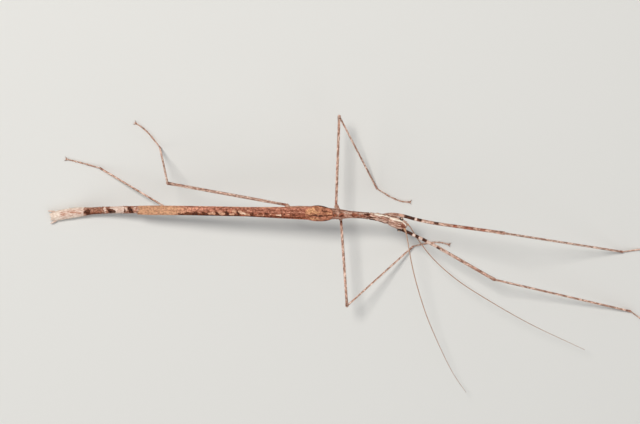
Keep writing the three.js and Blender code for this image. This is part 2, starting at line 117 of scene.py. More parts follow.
LEGS = {
    "front_leg_left": dict(hip=(13.1, -0.1, 9.7), femur=(-7, 17), tibia=-15, tarsus=(7, 4), root=0.84,
                           bend=[(0, 0.96), (0.04, 0.74), (0.07, 0.44), (0.1, 0.2), (0.14, 0.06),
                                 (0.18, 0.01), (0.22, 0.08), (0.3, 0.31), *BEND_AHEAD]),
    "front_leg_right": dict(hip=(13.7, -1.9, 9.5), femur=(-28.5, -1), tibia=-16, tarsus=(-37, -33)),
    "mid_leg_left": dict(hip=(3.6, 1.3, 9.7), femur=(88, -3.5), tibia=-64, tarsus=(-33, -4)),
    "mid_leg_right": dict(hip=(4.7, -1.9, 9.7), femur=(-86, -1.5), tibia=38.5, tarsus=(12, -16)),
    "hind_leg_left": dict(hip=(-7.6, 1.4, 9.7), femur=(166, 19.5), tibia=118.5, tarsus=(128, 148)),
    "hind_leg_right": dict(hip=(-5.4, -1.5, 9.4), femur=(178.8, -9), tibia=151, tarsus=(165, 166)),
}
ANKLE_HEIGHT = 0.55
TOE_JOINTS = (0.42, 0.2, 0.13, 0.09, 0.16)
CLAW_LENGTH, CLAW_SPREAD = 0.75, 38

WING = dict(tip=-40.9, lag=0.3, slant=0.6, front=0.4, lift=0.76, thickness=0.16,
            widths=[(0, 0.98), (0.07, 1.07), (0.6, 1.07), (1, 1.56)])
COVER = dict(back=-3.3, front=2.9, width=1.8, lift=1.0, thickness=0.24)
CERCUS = dict(length=1.45, root=0.4, tip=0.24, splay=21, start=0.95, aside=1.0)


# ---------------------------------------------------------------- curves

def heading(yaw, pitch=0.0):
    """The unit vector of a heading and a rise, in degrees."""
    y, p = math.radians(yaw), math.radians(pitch)
    return np.array([math.cos(y) * math.cos(p), math.sin(y) * math.cos(p), math.sin(p)])


def unit(vectors):
    return vectors / np.linalg.norm(vectors, axis=-1, keepdims=True)


def smooth_curve(points, per_span=60):
    """A centripetal Catmull-Rom curve through points, as many close points."""
    p = np.array(points, float)
    p = np.vstack([2 * p[0] - p[1], p, 2 * p[-1] - p[-2]])
    out = []
    for i in range(1, len(p) - 2):
        p0, p1, p2, p3 = p[i - 1:i + 3]
        d0, d1, d2 = (np.linalg.norm(b - a) ** 0.5 for a, b in ((p0, p1), (p1, p2), (p2, p3)))
        t1 = ((p1 - p0) / d0 - (p2 - p0) / (d0 + d1) + (p2 - p1) / d1) * d1
        t2 = ((p2 - p1) / d1 - (p3 - p1) / (d1 + d2) + (p3 - p2) / d2) * d1
        t = np.linspace(0, 1, per_span, endpoint=False)[:, None]
        out.append(p1 + t1 * t + (-3 * p1 + 3 * p2 - 2 * t1 - t2) * t ** 2
                   + (2 * p1 - 2 * p2 + t1 + t2) * t ** 3)
    return np.vstack(out + [p[-2:-1]])


class Axis:
    """A path with places and headings at any distance along it."""

    def __init__(self, points):
        self.points = np.array(points, float)
        steps = np.linalg.norm(np.diff(self.points, axis=0), axis=1)
        self.reach = np.concatenate([[0], np.cumsum(steps)])
        self.length = self.reach[-1]

    def at(self, distance):
        return np.stack([np.interp(distance, self.reach, self.points[:, k]) for k in range(3)], -1)

    def heading(self, distance):
        step = 0.05
        ahead = self.at(np.minimum(distance + step, self.length))
        return unit(ahead - self.at(np.maximum(distance - step, 0)))

    def frames(self, distance):
        """The places, headings, left sides and tops at distances along the path."""
        along = self.heading(distance)
        side = unit(np.cross(UP, along))
        return self.at(distance), along, side, np.cross(along, side)


def eased(table, x, softness=0.0):
    """The columns of a table (place, value, ...) read at x, with its corners rounded."""
    rows = np.array(table, float)
    if not softness:
        return [np.interp(x, rows[:, 0], rows[:, k]) for k in range(1, rows.shape[1])]
    offsets = np.linspace(-1.5, 1.5, 7) * softness
    weights = np.exp(-0.5 * (offsets / softness) ** 2)
    weights /= weights.sum()
    return [sum(w * np.interp(x + o, rows[:, 0], rows[:, k]) for w, o in zip(weights, offsets))
            for k in range(1, rows.shape[1])]


def hump(x, centre, width):
    """A bell curve, 1 at its centre."""
    return np.exp(-((x - centre) / width) ** 2)


def step_up(x, edge, softness):
    """0 before an edge and 1 after it, eased."""
    t = np.clip((x - edge) / softness + 0.5, 0, 1)
    return t * t * (3 - 2 * t)


def stripe(x, start, end, softness):
    """1 from start to end and 0 outside, eased."""
    return step_up(x, start, softness) * (1 - step_up(x, end, softness))


def spot(x, y, at, size, lean=0.0):
    """1 inside an oval patch and 0 outside, eased. lean slants it."""
    dx = (x - at[0] - lean * (y - at[1])) / size[0]
    dy = (y - at[1]) / size[1]
    return 1 - step_up(np.sqrt(dx ** 2 + dy ** 2), 1.0, 0.5)


def ribbon(x, line, half_width, softness):
    """1 close to a line and 0 further off than half a width, eased."""
    return 1 - step_up(np.abs(x - line) / half_width, 1.0, softness)


def spots(x, y, table):
    """The sum of oval patches, each (place, half sizes, slant, strength)."""
    return sum(strength * spot(x, y, at, size, lean) for at, size, lean, strength in table)


def drawn_lines(x, y, table):
    """The sum of lines along x, each ((y, half width), (start, end), softness, strength)."""
    return sum(strength * hump(y, at, width) * stripe(x, start, end, softness)
               for (at, width), (start, end), softness, strength in table)


def round_end(t, reach):
    """From 0 at t = 0 along a quarter circle to 1 at t = reach."""
    return np.sqrt(1 - (1 - np.minimum(1, t / reach)) ** 2)


def rough(points, scale, seed=0.0):
    """Smooth noise from -1 to 1 at points, with bumps about 1 / scale across."""
    flat = points.reshape(-1, 3) * scale + seed
    return np.array([noise.noise(Vector(p)) for p in flat]).reshape(points.shape[:-1])


def strayed(points, reach, scale, seed):
    """Noise offsets of up to about reach, to break the outline of a mark."""
    return 1.6 * reach * (rough(points, scale, seed) + 0.5 * rough(points, scale * 2.3, seed + 5))


# ---------------------------------------------------------------- meshes

def new_object(name, data):
    """An object that holds data, linked into the scene."""
    made = bpy.data.objects.new(name, data)
    bpy.context.scene.collection.objects.link(made)
    return made


class Surface:
    """A mesh that grows from grids. Each point keeps where it lies and the paint it carries."""

    def __init__(self):
        self.points, self.layers, self.faces = [], [], []
        self.count = 0

    def grid(self, points, lie, paint):
        """points is rings x places x 3, closed round and at both ends.

        paint is the pale, rust and dark marks and the tone, each a number or an array.
        """
        n, m = points.shape[:2]
        paint = np.stack([np.broadcast_to(layer, (n, m)) for layer in paint], -1)
        layers = np.concatenate([lie, paint], -1)
        index = self.count + np.arange(n * m).reshape(n, m)
        following = np.roll(index, -1, axis=1)
        quads = np.stack([index[:-1], following[:-1], following[1:], index[1:]], -1)
        self.faces += quads.reshape(-1, 4).tolist()
        self._add(points.reshape(n * m, -1), layers.reshape(n * m, -1))
        for ring in (0, n - 1):
            self._add(points[ring].mean(0)[None], layers[ring].mean(0)[None])
            centre = self.count - 1
            for a, b in zip(index[ring], np.roll(index[ring], -1)):
                self.faces.append([b, a, centre] if ring == 0 else [a, b, centre])

    def _add(self, points, layers):
        self.points.append(points)
        self.layers.append(layers)
        self.count += len(points)

    def build(self, name, material, replaces=()):
        mesh = bpy.data.meshes.new(name)
        points = (np.vstack(self.points) + ORIGIN) * MM
        mesh.from_pydata(points.tolist(), [], self.faces)
        mesh.update()
        layers = np.vstack(self.layers).astype(np.float32)
        for label, kind, key, values in (("lie", "FLOAT_VECTOR", "vector", layers[:, :3]),
                                         ("marks", "FLOAT_VECTOR", "vector", layers[:, 3:6]),
                                         ("tone", "FLOAT", "value", layers[:, 6])):
            layer = mesh.attributes.new(label, kind, "POINT")
            layer.data.foreach_set(key, values.ravel())
        mesh.polygons.foreach_set("use_smooth", np.ones(len(mesh.polygons), bool))
        mesh.materials.append(material)
        piece = new_object(name, mesh)
        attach(piece, "root")
        if replaces:
            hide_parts(*replaces)


def around(count):
    """Angles round a ring, from the underside on."""
    return -math.pi / 2 + 2 * math.pi * np.arange(count) / count


def turn_of(angles):
    """Degrees from the top, positive to the right."""
    return (np.degrees(angles - math.pi / 2) + 180) % 360 - 180


def lie_of(distance, angles, girth, seed=0.0):
    """Where the points of rings lie: millimetres along and around, and a seed for the grain."""
    turn = np.broadcast_to(np.radians(turn_of(angles)), (len(distance), len(angles)))
    along = np.broadcast_to(distance[:, None], turn.shape)
    return np.stack([along, turn * girth[:, None] / 2, np.full(turn.shape, seed)], -1)


def oval(angles, width, below, above, squareness):
    """Rings of offsets (aside, up), from the sizes of each ring."""
    c, s = np.cos(angles), np.sin(angles)
    aside = np.sign(c) * np.abs(c) ** squareness * width[:, None] / 2
    reach = np.where(s > 0, above[:, None], below[:, None])
    return aside, np.sign(s) * np.abs(s) ** squareness * reach


def raised(aside, rise, relief):
    """Offsets moved outwards by a relief."""
    outward = unit(np.stack([aside, rise], -1))
    return aside + outward[..., 0] * relief, rise + outward[..., 1] * relief


def rings(frames, aside, rise):
    """Points at offsets to the side and to the top of an axis's frames."""
    centre, _, side, top = frames
    return centre[:, None] + side[:, None] * aside[..., None] + top[:, None] * rise[..., None]


def tube(axis, distance, angles, width, ridges=1.0, flatten=1.0):
    """Round rings about an axis."""
    radius = width[:, None] / 2 * ridges
    return rings(axis.frames(distance), np.cos(angles) * radius, np.sin(angles) * radius * flatten)


def grounded(points, height=0.0):
    """Keeps points from sinking into the floor."""
    points[..., 2] = np.maximum(points[..., 2], height)


# ---------------------------------------------------------------- places on the insect

spine = Axis(smooth_curve(SPINE))
neck = spine.at(spine.length)
STRETCH_SCALE = spine.length / TRUNK_LENGTH


def head_frame():
    """The head's along, left and up directions."""
    yaw = Matrix.Rotation(math.radians(HEAD_YAW), 3, "Z")
    roll = Matrix.Rotation(math.radians(HEAD_ROLL), 3, "X")
    return np.array((yaw @ roll).transposed())


HEAD_FRAME = head_frame()


def on_head(along, aside, up):
    """A place given by its distances from the neck in the head's own directions."""
    return neck + np.array([along, aside, up]) @ HEAD_FRAME


def frame_origin():
    """Where the insect's own axes stand in the frame, from the eye that both know."""
    low, high = (np.array(corner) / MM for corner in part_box("eye_left"))
    return (low + high) / 2 - on_head(*SOLID_EYE)


ORIGIN = frame_origin()


# ---------------------------------------------------------------- camera, floor and light

VIEW_DISTANCE = 560.0
VIEW_TILT = 10.0  # the camera stands this far to the insect's left of straight above
AIM = np.array([0.0, 0.0, 11.0])
FIELD = 143.04  # width of the view at the aim
SENSOR = 36.0
FLOOR_REACH = 3.0  # metres


def place_camera():
    tilt = math.radians(VIEW_TILT)
    back = np.array([0, math.sin(tilt), math.cos(tilt)])
    data = bpy.data.cameras.new("camera")
    data.sensor_width = SENSOR
    data.sensor_fit = "HORIZONTAL"
    data.lens = SENSOR * VIEW_DISTANCE / FIELD
    data.clip_start, data.clip_end = 0.01, 10
    camera = new_object("camera", data)
    camera.location = Vector((AIM + ORIGIN + back * VIEW_DISTANCE) * MM)
    camera.rotation_euler = (-tilt, 0, 0)
    bpy.context.scene.camera = camera


def lay_floor(material):
    mesh = bpy.data.meshes.new("floor")
    corners = [(x * FLOOR_REACH, y * FLOOR_REACH, 0) for x, y in ((-1, -1), (1, -1), (1, 1), (-1, 1))]
    mesh.from_pydata(corners, [], [(0, 1, 2, 3)])
    mesh.materials.append(material)
    floor = new_object("floor", mesh)


def light(name, place, size, power, color=(1, 1, 1)):
    data = bpy.data.lights.new(name, "AREA")
    data.shape = "DISK"
    data.size = size
    data.energy = power
    data.color = color
    lamp = new_object(name, data)
    lamp.location = place
    aim = Vector((0, 0, 0.01)) - lamp.location
    lamp.rotation_euler = aim.to_track_quat("-Z", "Y").to_euler()


def light_studio():
    light("key", (-0.22, 0.34, 0.7), 0.22, 4.6, (1, 0.98, 0.95))
    light("fill", (0.5, -0.5, 0.6), 0.6, 1.4, (0.97, 0.985, 1))
    light("rim", (-0.6, -0.2, 0.35), 0.4, 0.8)
    world = bpy.data.worlds.new("studio")
    world.use_nodes = True
    background = world.node_tree.nodes["Background"]
    background.inputs["Color"].default_value = (0.95, 0.97, 1, 1)
    background.inputs["Strength"].default_value = 0.34
    bpy.context.scene.world = world
    bpy.context.scene.view_settings.view_transform = "Standard"


# ---------------------------------------------------------------- materials

def linear(r, g, b):
    """A colour given as 0 to 255 display values, for a shader's socket."""
    channel = [v / 255 for v in (r, g, b)]
    return tuple(v / 12.92 if v <= 0.04045 else ((v + 0.055) / 1.055) ** 2.4 for v in channel) + (1.0,)


class Nodes:
    """Short calls for building a node tree. Three numbers are a colour in display values."""

    def __init__(self, tree):
        self.tree = tree

    def plug(self, node, inputs):
        """Links sockets to a node's inputs, and sets the constants among them."""
        for key, value in inputs.items():
            if isinstance(value, bpy.types.NodeSocket):
                self.tree.links.new(value, node.inputs[key])
            elif isinstance(value, tuple) and len(value) == 3:
                node.inputs[key].default_value = linear(*value)
            else:
                node.inputs[key].default_value = value

    def add(self, kind, inputs=None, **settings):
        node = self.tree.nodes.new(kind)
        for key, value in settings.items():
            setattr(node, key, value)
        self.plug(node, inputs or {})
        return node

    def math(self, operation, a, b, clamp=False):
        return self.add("ShaderNodeMath", {0: a, 1: b}, operation=operation, use_clamp=clamp).outputs[0]

    def times(self, a, b):
        return self.math("MULTIPLY", a, b)

    def plus(self, a, b, clamp=False):
        return self.math("ADD", a, b, clamp)

    def minus(self, a, b):
        return self.math("SUBTRACT", a, b)

    def mix(self, factor, a, b, blend="MIX"):
        node = self.add("ShaderNodeMix", {0: factor, 6: a, 7: b}, data_type="RGBA", blend_type=blend)
        return node.outputs[2]

    def paint(self, base, color, mask, amount):
        """A colour laid over a base where a mask is 1."""
        return self.mix(self.times(mask, amount), base, color)

    def tint(self, base, value, low, high):
        """A base shaded between two tints by a value."""
        return self.mix(1.0, base, self.mix(value, low, high), "MULTIPLY")

    def remap(self, value, low, high, to_low=0.0, to_high=1.0, curve="SMOOTHSTEP"):
        inputs = {0: value, 1: low, 2: high, 3: to_low, 4: to_high}
        return self.add("ShaderNodeMapRange", inputs, interpolation_type=curve).outputs[0]

    def noise(self, vector, scale, detail=3.0, roughness=0.6, distortion=0.0):
        return self.add("ShaderNodeTexNoise", {"Vector": vector, "Scale": scale, "Detail": detail,
                                               "Roughness": roughness,
                                               "Distortion": distortion}).outputs[0]

    def bump(self, height, strength, distance):
        return self.add("ShaderNodeBump", {"Strength": strength, "Distance": distance,
                                           "Height": height}).outputs[0]

    def drawn(self, given):
        """The Lie coordinates drawn out by the Along and Around scales."""
        parts = self.add("ShaderNodeSeparateXYZ", {0: given["Lie"]}).outputs
        scaled = {0: self.times(parts[0], given["Along"]), 1: self.times(parts[1], given["Around"]),
                  2: parts[2]}
        return self.add("ShaderNodeCombineXYZ", scaled).outputs[0]

    def effect(self, name, **inputs):
        """The output of a shared group."""
        return self.add("ShaderNodeGroup", inputs, node_tree=bpy.data.node_groups[name]).outputs[0]


def make_group(name, output, inputs, effect):
    """A shader group with one value as its output, which effect(nodes, given) makes."""
    tree = bpy.data.node_groups.new(name, "ShaderNodeTree")
    for label, default in inputs.items():
        kind = "NodeSocketVector" if default is None else "NodeSocketFloat"
        socket = tree.interface.new_socket(label, in_out="INPUT", socket_type=kind)
        if default is not None:
            socket.default_value = default
    tree.interface.new_socket(output, in_out="OUTPUT", socket_type="NodeSocketFloat")
    nodes = Nodes(tree)
    given = nodes.add("NodeGroupInput").outputs
    end = nodes.add("NodeGroupOutput")
    nodes.plug(end, {output: effect(nodes, given)})


def crumbled_mark(nodes, given):
    """A painted mark with a crumbled edge, as pigment has in dry skin."""
    grain = nodes.noise(given["Place"], given["Grain"], 4.0, 0.65)
    shaken = nodes.plus(given["Mark"], nodes.times(nodes.minus(grain, 0.5), given["Crumble"]))
    return nodes.times(nodes.remap(shaken, 0.36, 0.64), nodes.remap(given["Mark"], 0.02, 0.3))


def streak_mask(nodes, given):
    """Long fine streaks that follow the body."""
    noise = nodes.noise(nodes.drawn(given), 1.0, 3.0, 0.6, 0.2)
    edge = nodes.minus(0.72, nodes.times(given["Density"], 0.4))
    return nodes.remap(nodes.minus(noise, edge), -0.02, 0.1)


def grain_value(nodes, given):
    """Fine light and dark flecks, drawn out along the body."""
    flecks = nodes.noise(nodes.drawn(given), 1.0, 3.0, 0.62, 0.4)
    return nodes.remap(flecks, nodes.minus(0.5, given["Spread"]), nodes.plus(0.5, given["Spread"]))


def speckle_mask(nodes, given):
    """Small dots, each of its own size."""
    cells = nodes.add("ShaderNodeTexVoronoi", {"Vector": given["Place"], "Scale": given["Scale"],
                                               "Randomness": 1.0})
    chance = nodes.add("ShaderNodeSeparateColor", {0: cells.outputs["Color"]}).outputs
    size = nodes.times(given["Size"], nodes.plus(0.5, chance[1]))
    dot = nodes.remap(nodes.minus(cells.outputs["Distance"], size), 0.04, -0.06)
    return nodes.times(dot, nodes.math("LESS_THAN", chance[0], given["Share"]))


def make_groups():
    """The effects that several of the insect's finishes share."""
    make_group("crumbled mark", "Mark", {"Mark": 0.0, "Place": None, "Grain": 4.0, "Crumble": 0.6},
               crumbled_mark)
    make_group("streaks", "Mask", {"Lie": None, "Along": 0.35, "Around": 5.0, "Density": 0.5}, streak_mask)
    make_group("grain", "Value", {"Lie": None, "Along": 2.0, "Around": 4.0, "Spread": 0.12}, grain_value)
    make_group("speckles", "Mask", {"Place": None, "Scale": 3.0, "Size": 0.2, "Share": 0.5}, speckle_mask)


def new_material(name):
    material = bpy.data.materials.new(name)
    material.use_nodes = True
    return material, Nodes(material.node_tree), material.node_tree.nodes["Principled BSDF"]


def read_marks(nodes):
    """Where a point lies, its place in millimetres, its tone, and its pale, rust and dark marks."""
    lie = nodes.add("ShaderNodeAttribute", attribute_name="lie").outputs["Vector"]
    marks = nodes.add("ShaderNodeAttribute", attribute_name="marks").outputs["Vector"]
    tone = nodes.add("ShaderNodeAttribute", attribute_name="tone").outputs["Fac"]
    place = nodes.add("ShaderNodeTexCoord").outputs["Object"]
    place = nodes.add("ShaderNodeVectorMath", {0: place, 3: 1 / MM}, operation="SCALE").outputs[0]
    return lie, place, tone, *nodes.add("ShaderNodeSeparateXYZ", {0: marks}).outputs


def crumbled(nodes, place, *marks):
    """Painted marks with crumbled edges, from pairs of mark and grain."""
    return [nodes.effect("crumbled mark", Mark=mark, Place=place, Grain=grain, Crumble=0.6)
            for mark, grain in marks]


def skin_material():
    material, nodes, shader = new_material("dry brown skin")
    lie, place, tone, pale_mark, rust_mark, dark_mark = read_marks(nodes)
    pale, rust, dark = crumbled(nodes, place, (pale_mark, 3.1), (rust_mark, 3.9), (dark_mark, 3.4))
    mottle = nodes.noise(place, 1.5, 4.0, 0.65)
    fine = nodes.noise(place, 7.0)
    grain = nodes.effect("grain", Lie=lie, Along=1.5, Around=3.4, Spread=0.1)
    streaks = nodes.effect("streaks", Lie=lie, Along=0.5, Around=3.2, Density=0.6)
    thin = nodes.effect("streaks", Lie=lie, Along=0.5, Around=3.6, Density=0.62)
    dots = nodes.effect("speckles", Place=place, Scale=2.7, Size=0.26, Share=0.36)
    # the tone also carries the painted shade on the trunk's lower flanks
    base = nodes.mix(tone, (146, 94, 68), (230, 203, 186))
    base = nodes.paint(base, (184, 124, 99), nodes.remap(mottle, 0.42, 0.6), 0.5)
    base = nodes.paint(base, (120, 66, 42), streaks, 0.5)
    base = nodes.paint(base, (84, 46, 30), dots, 0.6)
    base = nodes.paint(base, nodes.mix(fine, (112, 48, 26), (164, 88, 56)), rust, 0.8)
    lined = nodes.plus(0.3, nodes.times(rust_mark, 0.8), True)
    whitish = nodes.mix(mottle, (216, 190, 174), (238, 221, 208))
    whitish = nodes.paint(whitish, (176, 104, 70), thin, lined)
    whitish = nodes.mix(nodes.remap(pale_mark, 1.1, 1.4), whitish, (252, 243, 226))
    base = nodes.paint(base, whitish, pale, 0.94)
    shaded = nodes.mix(pale, (0.52, 0.43, 0.38, 1), (0.82, 0.76, 0.72, 1))
    lit = nodes.mix(pale, (1.26, 1.27, 1.28, 1), (1.04, 1.05, 1.06, 1))
    base = nodes.tint(base, grain, shaded, lit)
    base = nodes.paint(base, nodes.mix(grain, (40, 13, 3), (88, 40, 16)), dark, 0.95)
    relief = nodes.plus(nodes.times(fine, 0.5), nodes.times(streaks, -0.4))
    relief = nodes.plus(relief, nodes.times(grain, 0.5))
    nodes.plug(shader, {"Base Color": base, "Normal": nodes.bump(relief, 0.6, 0.00005),
                        "Roughness": nodes.remap(mottle, 0.3, 0.7, 0.5, 0.7, "LINEAR"),
                        "Specular IOR Level": 0.16})
    return material


def wing_material():
    material, nodes, shader = new_material("folded wing")
    lie, place, tone, pale_mark, rust, dark = read_marks(nodes)
    pale, rust, dark = crumbled(nodes, place, (pale_mark, 2.6), (rust, 3.6), (dark, 3.0))
    mottle = nodes.noise(place, 1.9, 4.0, 0.7)
    fine = nodes.noise(place, 8.0)
    grain = nodes.effect("grain", Lie=lie, Along=2.3, Around=3.2, Spread=0.09)
    veins = nodes.effect("streaks", Lie=lie, Along=0.16, Around=4.4, Density=0.55)
    dots = nodes.effect("speckles", Place=place, Scale=2.3, Size=0.26, Share=0.5)
    flecks = nodes.effect("speckles", Place=place, Scale=3.0, Size=0.22, Share=0.5)
    base = nodes.mix(tone, (194, 130, 106), (200, 154, 118))
    base = nodes.paint(base, (214, 154, 128), nodes.remap(mottle, 0.42, 0.6),
                       nodes.remap(tone, 0.0, 1.0, 0.6, 0.3))
    base = nodes.paint(base, (136, 76, 50), veins, 0.26)
    base = nodes.paint(base, (228, 184, 156), flecks, nodes.remap(tone, 0.0, 1.0, 0.55, 0.25))
    base = nodes.paint(base, (112, 56, 36), dots, nodes.remap(tone, 0.0, 1.0, 0.75, 0.3))
    base = nodes.paint(base, nodes.mix(fine, (110, 50, 30), (158, 86, 58)), rust, 0.72)
    shaded = nodes.mix(tone, (0.5, 0.4, 0.35, 1), (0.72, 0.65, 0.6, 1))
    lit = nodes.mix(tone, (1.24, 1.26, 1.28, 1), (1.14, 1.14, 1.14, 1))
    base = nodes.tint(base, grain, shaded, lit)
    cream = nodes.mix(fine, (196, 142, 112), (230, 192, 162))
    cream = nodes.tint(cream, grain, (0.72, 0.6, 0.54, 1), (1.1, 1.1, 1.1, 1))
    cream = nodes.mix(nodes.remap(pale_mark, 1.0, 1.3), cream, (240, 216, 190))
    base = nodes.paint(base, cream, pale, 0.88)
    # the dark marks also carry painted shade along the right wing's outer side
    base = nodes.paint(base, nodes.mix(grain, (48, 16, 4), (104, 54, 26)), dark, 0.94)
    relief = nodes.plus(nodes.times(grain, 0.7), nodes.times(veins, -0.6))
    nodes.plug(shader, {"Base Color": base, "Normal": nodes.bump(relief, 0.5, 0.00004),
                        "Roughness": nodes.remap(mottle, 0.3, 0.7, 0.46, 0.62, "LINEAR"),
                        "Specular IOR Level": 0.2})
    return material


def cover_material():
    material, nodes, shader = new_material("wing cover")
    lie, place, tone, pale, rust, dark = read_marks(nodes)
    pale, rust, dark = crumbled(nodes, place, (pale, 3.4), (rust, 4.0), (dark, 3.8))
    mottle = nodes.noise(place, 2.6, 4.0, 0.65)
    grain = nodes.effect("grain", Lie=lie, Along=2.0, Around=3.2, Spread=0.1)
    veins = nodes.effect("streaks", Lie=lie, Along=0.5, Around=3.4, Density=0.6)
    base = nodes.mix(tone, (182, 120, 94), (214, 156, 118))
    base = nodes.paint(base, (204, 140, 108), nodes.remap(mottle, 0.42, 0.6), 0.5)
    base = nodes.paint(base, (118, 60, 36), veins, 0.5)
    base = nodes.paint(base, (134, 70, 44), rust, 0.7)
    base = nodes.paint(base, (228, 176, 128), pale, 0.75)
    base = nodes.tint(base, grain, (0.54, 0.44, 0.38, 1), (1.2, 1.2, 1.18, 1))
    base = nodes.paint(base, nodes.mix(grain, (48, 18, 6), (104, 54, 28)), dark, 0.9)
    relief = nodes.plus(nodes.times(grain, 0.6), nodes.times(veins, -0.6))
    nodes.plug(shader, {"Base Color": base, "Normal": nodes.bump(relief, 0.5, 0.00004),
                        "Roughness": nodes.remap(mottle, 0.3, 0.7, 0.44, 0.6, "LINEAR"),
                        "Specular IOR Level": 0.2})
    return material


def horn_material():
    """Feelers and claws."""
    material, nodes, shader = new_material("feeler horn")
    _, place, tone, _, rust, _ = read_marks(nodes)
    base = nodes.mix(tone, (120, 80, 60), (204, 164, 138))
    clouds = nodes.remap(nodes.noise(place, 2.4), 0.4, 0.65)
    base = nodes.paint(base, (150, 108, 84), clouds, 0.4)
    base = nodes.mix(rust, base, (206, 148, 98))
    nodes.plug(shader, {"Base Color": base, "Roughness": 0.5})
    return material


def eye_material():
    material, nodes, shader = new_material("compound eye")
    _, place, tone, pale, _, dark = read_marks(nodes)
    base = nodes.mix(tone, (112, 78, 56), (150, 116, 92))
    base = nodes.mix(dark, base, (34, 17, 10))
    # the pale mark is the painted reflection at the eye's pole
    base = nodes.mix(pale, base, (214, 190, 170))
    facets = nodes.add("ShaderNodeTexVoronoi", {"Vector": place, "Scale": 18.0}).outputs["Distance"]
    nodes.plug(shader, {"Base Color": base, "Normal": nodes.bump(facets, 0.5, 0.000012),
                        "Roughness": 0.34, "Specular IOR Level": 0.3, "Coat Weight": 0.12,
                        "Coat Roughness": 0.15})
    return material


def floor_material():
    material, nodes, shader = new_material("pale floor")
    nodes.plug(shader, {"Base Color": (214, 213, 209), "Roughness": 0.85})
    return material


# ---------------------------------------------------------------- skin: trunk and head

RING_STEP = 0.11
TRUNK_COUNT = 72
HEAD_STEP = 0.06
HEAD_COUNT = 80
NOSE_START, NOSE_DEPTH = 4.05, 0.46  # where the head's front begins to close, and how deep it is

# Patches of pigment: place along the insect and degrees from the top, half sizes, slant, strength.
TRUNK_PALE = (
    ((-48.7, -30), (0.3, 50), 0, 0.75), ((-48.6, 30), (0.2, 20), 0, 0.6),
    ((-43.85, -30), (0.3, 34), 0, 0.75), ((-41.8, -40), (0.4, 26), 0, 0.7),
    ((-41.6, 50), (0.35, 22), 0, 0.6), ((6.0, -30), (1.4, 14), 0, 0.5),
    ((9.6, -34), (1.2, 12), 0, 0.6), ((12.9, -30), (0.9, 17), 0, 0.95),
    ((13.2, 8), (1.3, 9), 0, 0.5))
TRUNK_RUST = (
    ((3.3, 10), (0.6, 20), 0, 0.7), ((4.9, 4), (0.6, 26), 0, 0.8),
    ((7.8, -4), (0.95, 32), 0, 0.8), ((10.2, -4), (1.3, 38), 0, 0.6))
TRUNK_DARK = (
    ((-52.8, 2), (0.72, 42), 0, 0.95), ((-51.8, 52), (1.6, 22), 0, 0.55),
    ((-49.6, 55), (1, 20), 0, 0.5), ((-47.3, 12), (0.95, 42), 0.01, 0.95),
    ((-44.2, 8), (0.26, 26), 0, 0.85), ((-42.85, 0), (0.5, 66), 0.004, 0.95),
    ((4.8, 12), (0.3, 14), 0, 0.75), ((7.3, 8), (0.4, 12), 0, 0.6),
    ((10.2, 56), (2.1, 17), 0, 0.9), ((10.65, -30), (0.8, 15), 0, 1.4),
    ((10.95, 15), (0.9, 14), 0, 1.3), ((12.0, 62), (0.5, 16), 0, 0.7),
    ((13.5, -70), (0.26, 12), 0, 0.95), ((14.1, 66), (1.0, 14), 0, 0.8),
    ((14.3, -68), (0.26, 11), 0, 0.95))

# Lines of pigment: degrees from the top and half width, start and end, softness, strength.
TRUNK_RUST_LINES = (
    ((48, 9), (3, 12.5), 1.0, 0.5), ((-6, 7), (11.8, 15.8), 0.6, 0.8),
    ((46, 8), (12, 15.8), 0.6, 0.75), ((-28, 5), (13.4, 15.8), 0.6, 0.9),
    ((18, 5), (12.6, 15.6), 0.6, 0.6))
HEAD_RUST_LINES = (
    ((-4, 5), (0.3, 3.8), 0.6, 0.8), ((17, 5), (0.6, 3.6), 0.6, 0.8),
    ((-22, 4), (0.9, 3.6), 0.6, 0.7), ((55, 8), (0.2, 3.4), 0.6, 0.85))


def joint_places():
    """The distance of each stretch's rear end from the tail's tip."""
    places, reached = {}, 0.0
    for name, (length, _) in STRETCHES.items():
        places[name] = reached * STRETCH_SCALE
        reached += length
    return places


JOINTS = joint_places()


def trunk_table():
    """(distance, width, below, above) for all stretches, each a little short of its joints."""
    rows, reached = [], 0.0
    for length, girths in STRETCHES.values():
        for share, *sizes in girths:
            place = (reached + (0.02 + 0.96 * share) * length) * STRETCH_SCALE
            rows.append((place, *sizes))
        reached += length
    return rows


def trunk_relief(distance, turn):
    """Height over the plain trunk. turn is degrees from the top, positive to the right."""
    side = np.abs(turn)
    relief = np.zeros(turn.shape)
    for name, place in list(JOINTS.items())[1:]:
        deep = 0.085 if name.startswith("abdomen") else 0.12
        relief -= deep * hump(distance, place - 0.06, 0.13)
        relief += 0.05 * hump(distance, place + 0.22, 0.2) + 0.03 * hump(distance, place - 0.42, 0.25)
    thorax = step_up(distance, JOINTS["mesothorax"] - 0.5, 1.0)
    relief += 0.05 * thorax * hump(turn, 0, 7) * (1 - 0.5 * np.cos(distance * 1.3))
    relief += 0.03 * hump(turn, 0, 16) * (1 - thorax)
    fold = hump(side, 104, 6) - 0.7 * hump(side, 92, 5)
    relief -= 0.06 * fold * (distance > JOINTS["abdomen_9"])
    shield = distance - JOINTS["prothorax"]
    relief -= 0.07 * hump(shield, 2.0, 0.22) * (side < 95)
    relief += 0.06 * hump(shield, 3.75, 0.22) + 0.05 * hump(shield, 0.35, 0.2)
    return relief


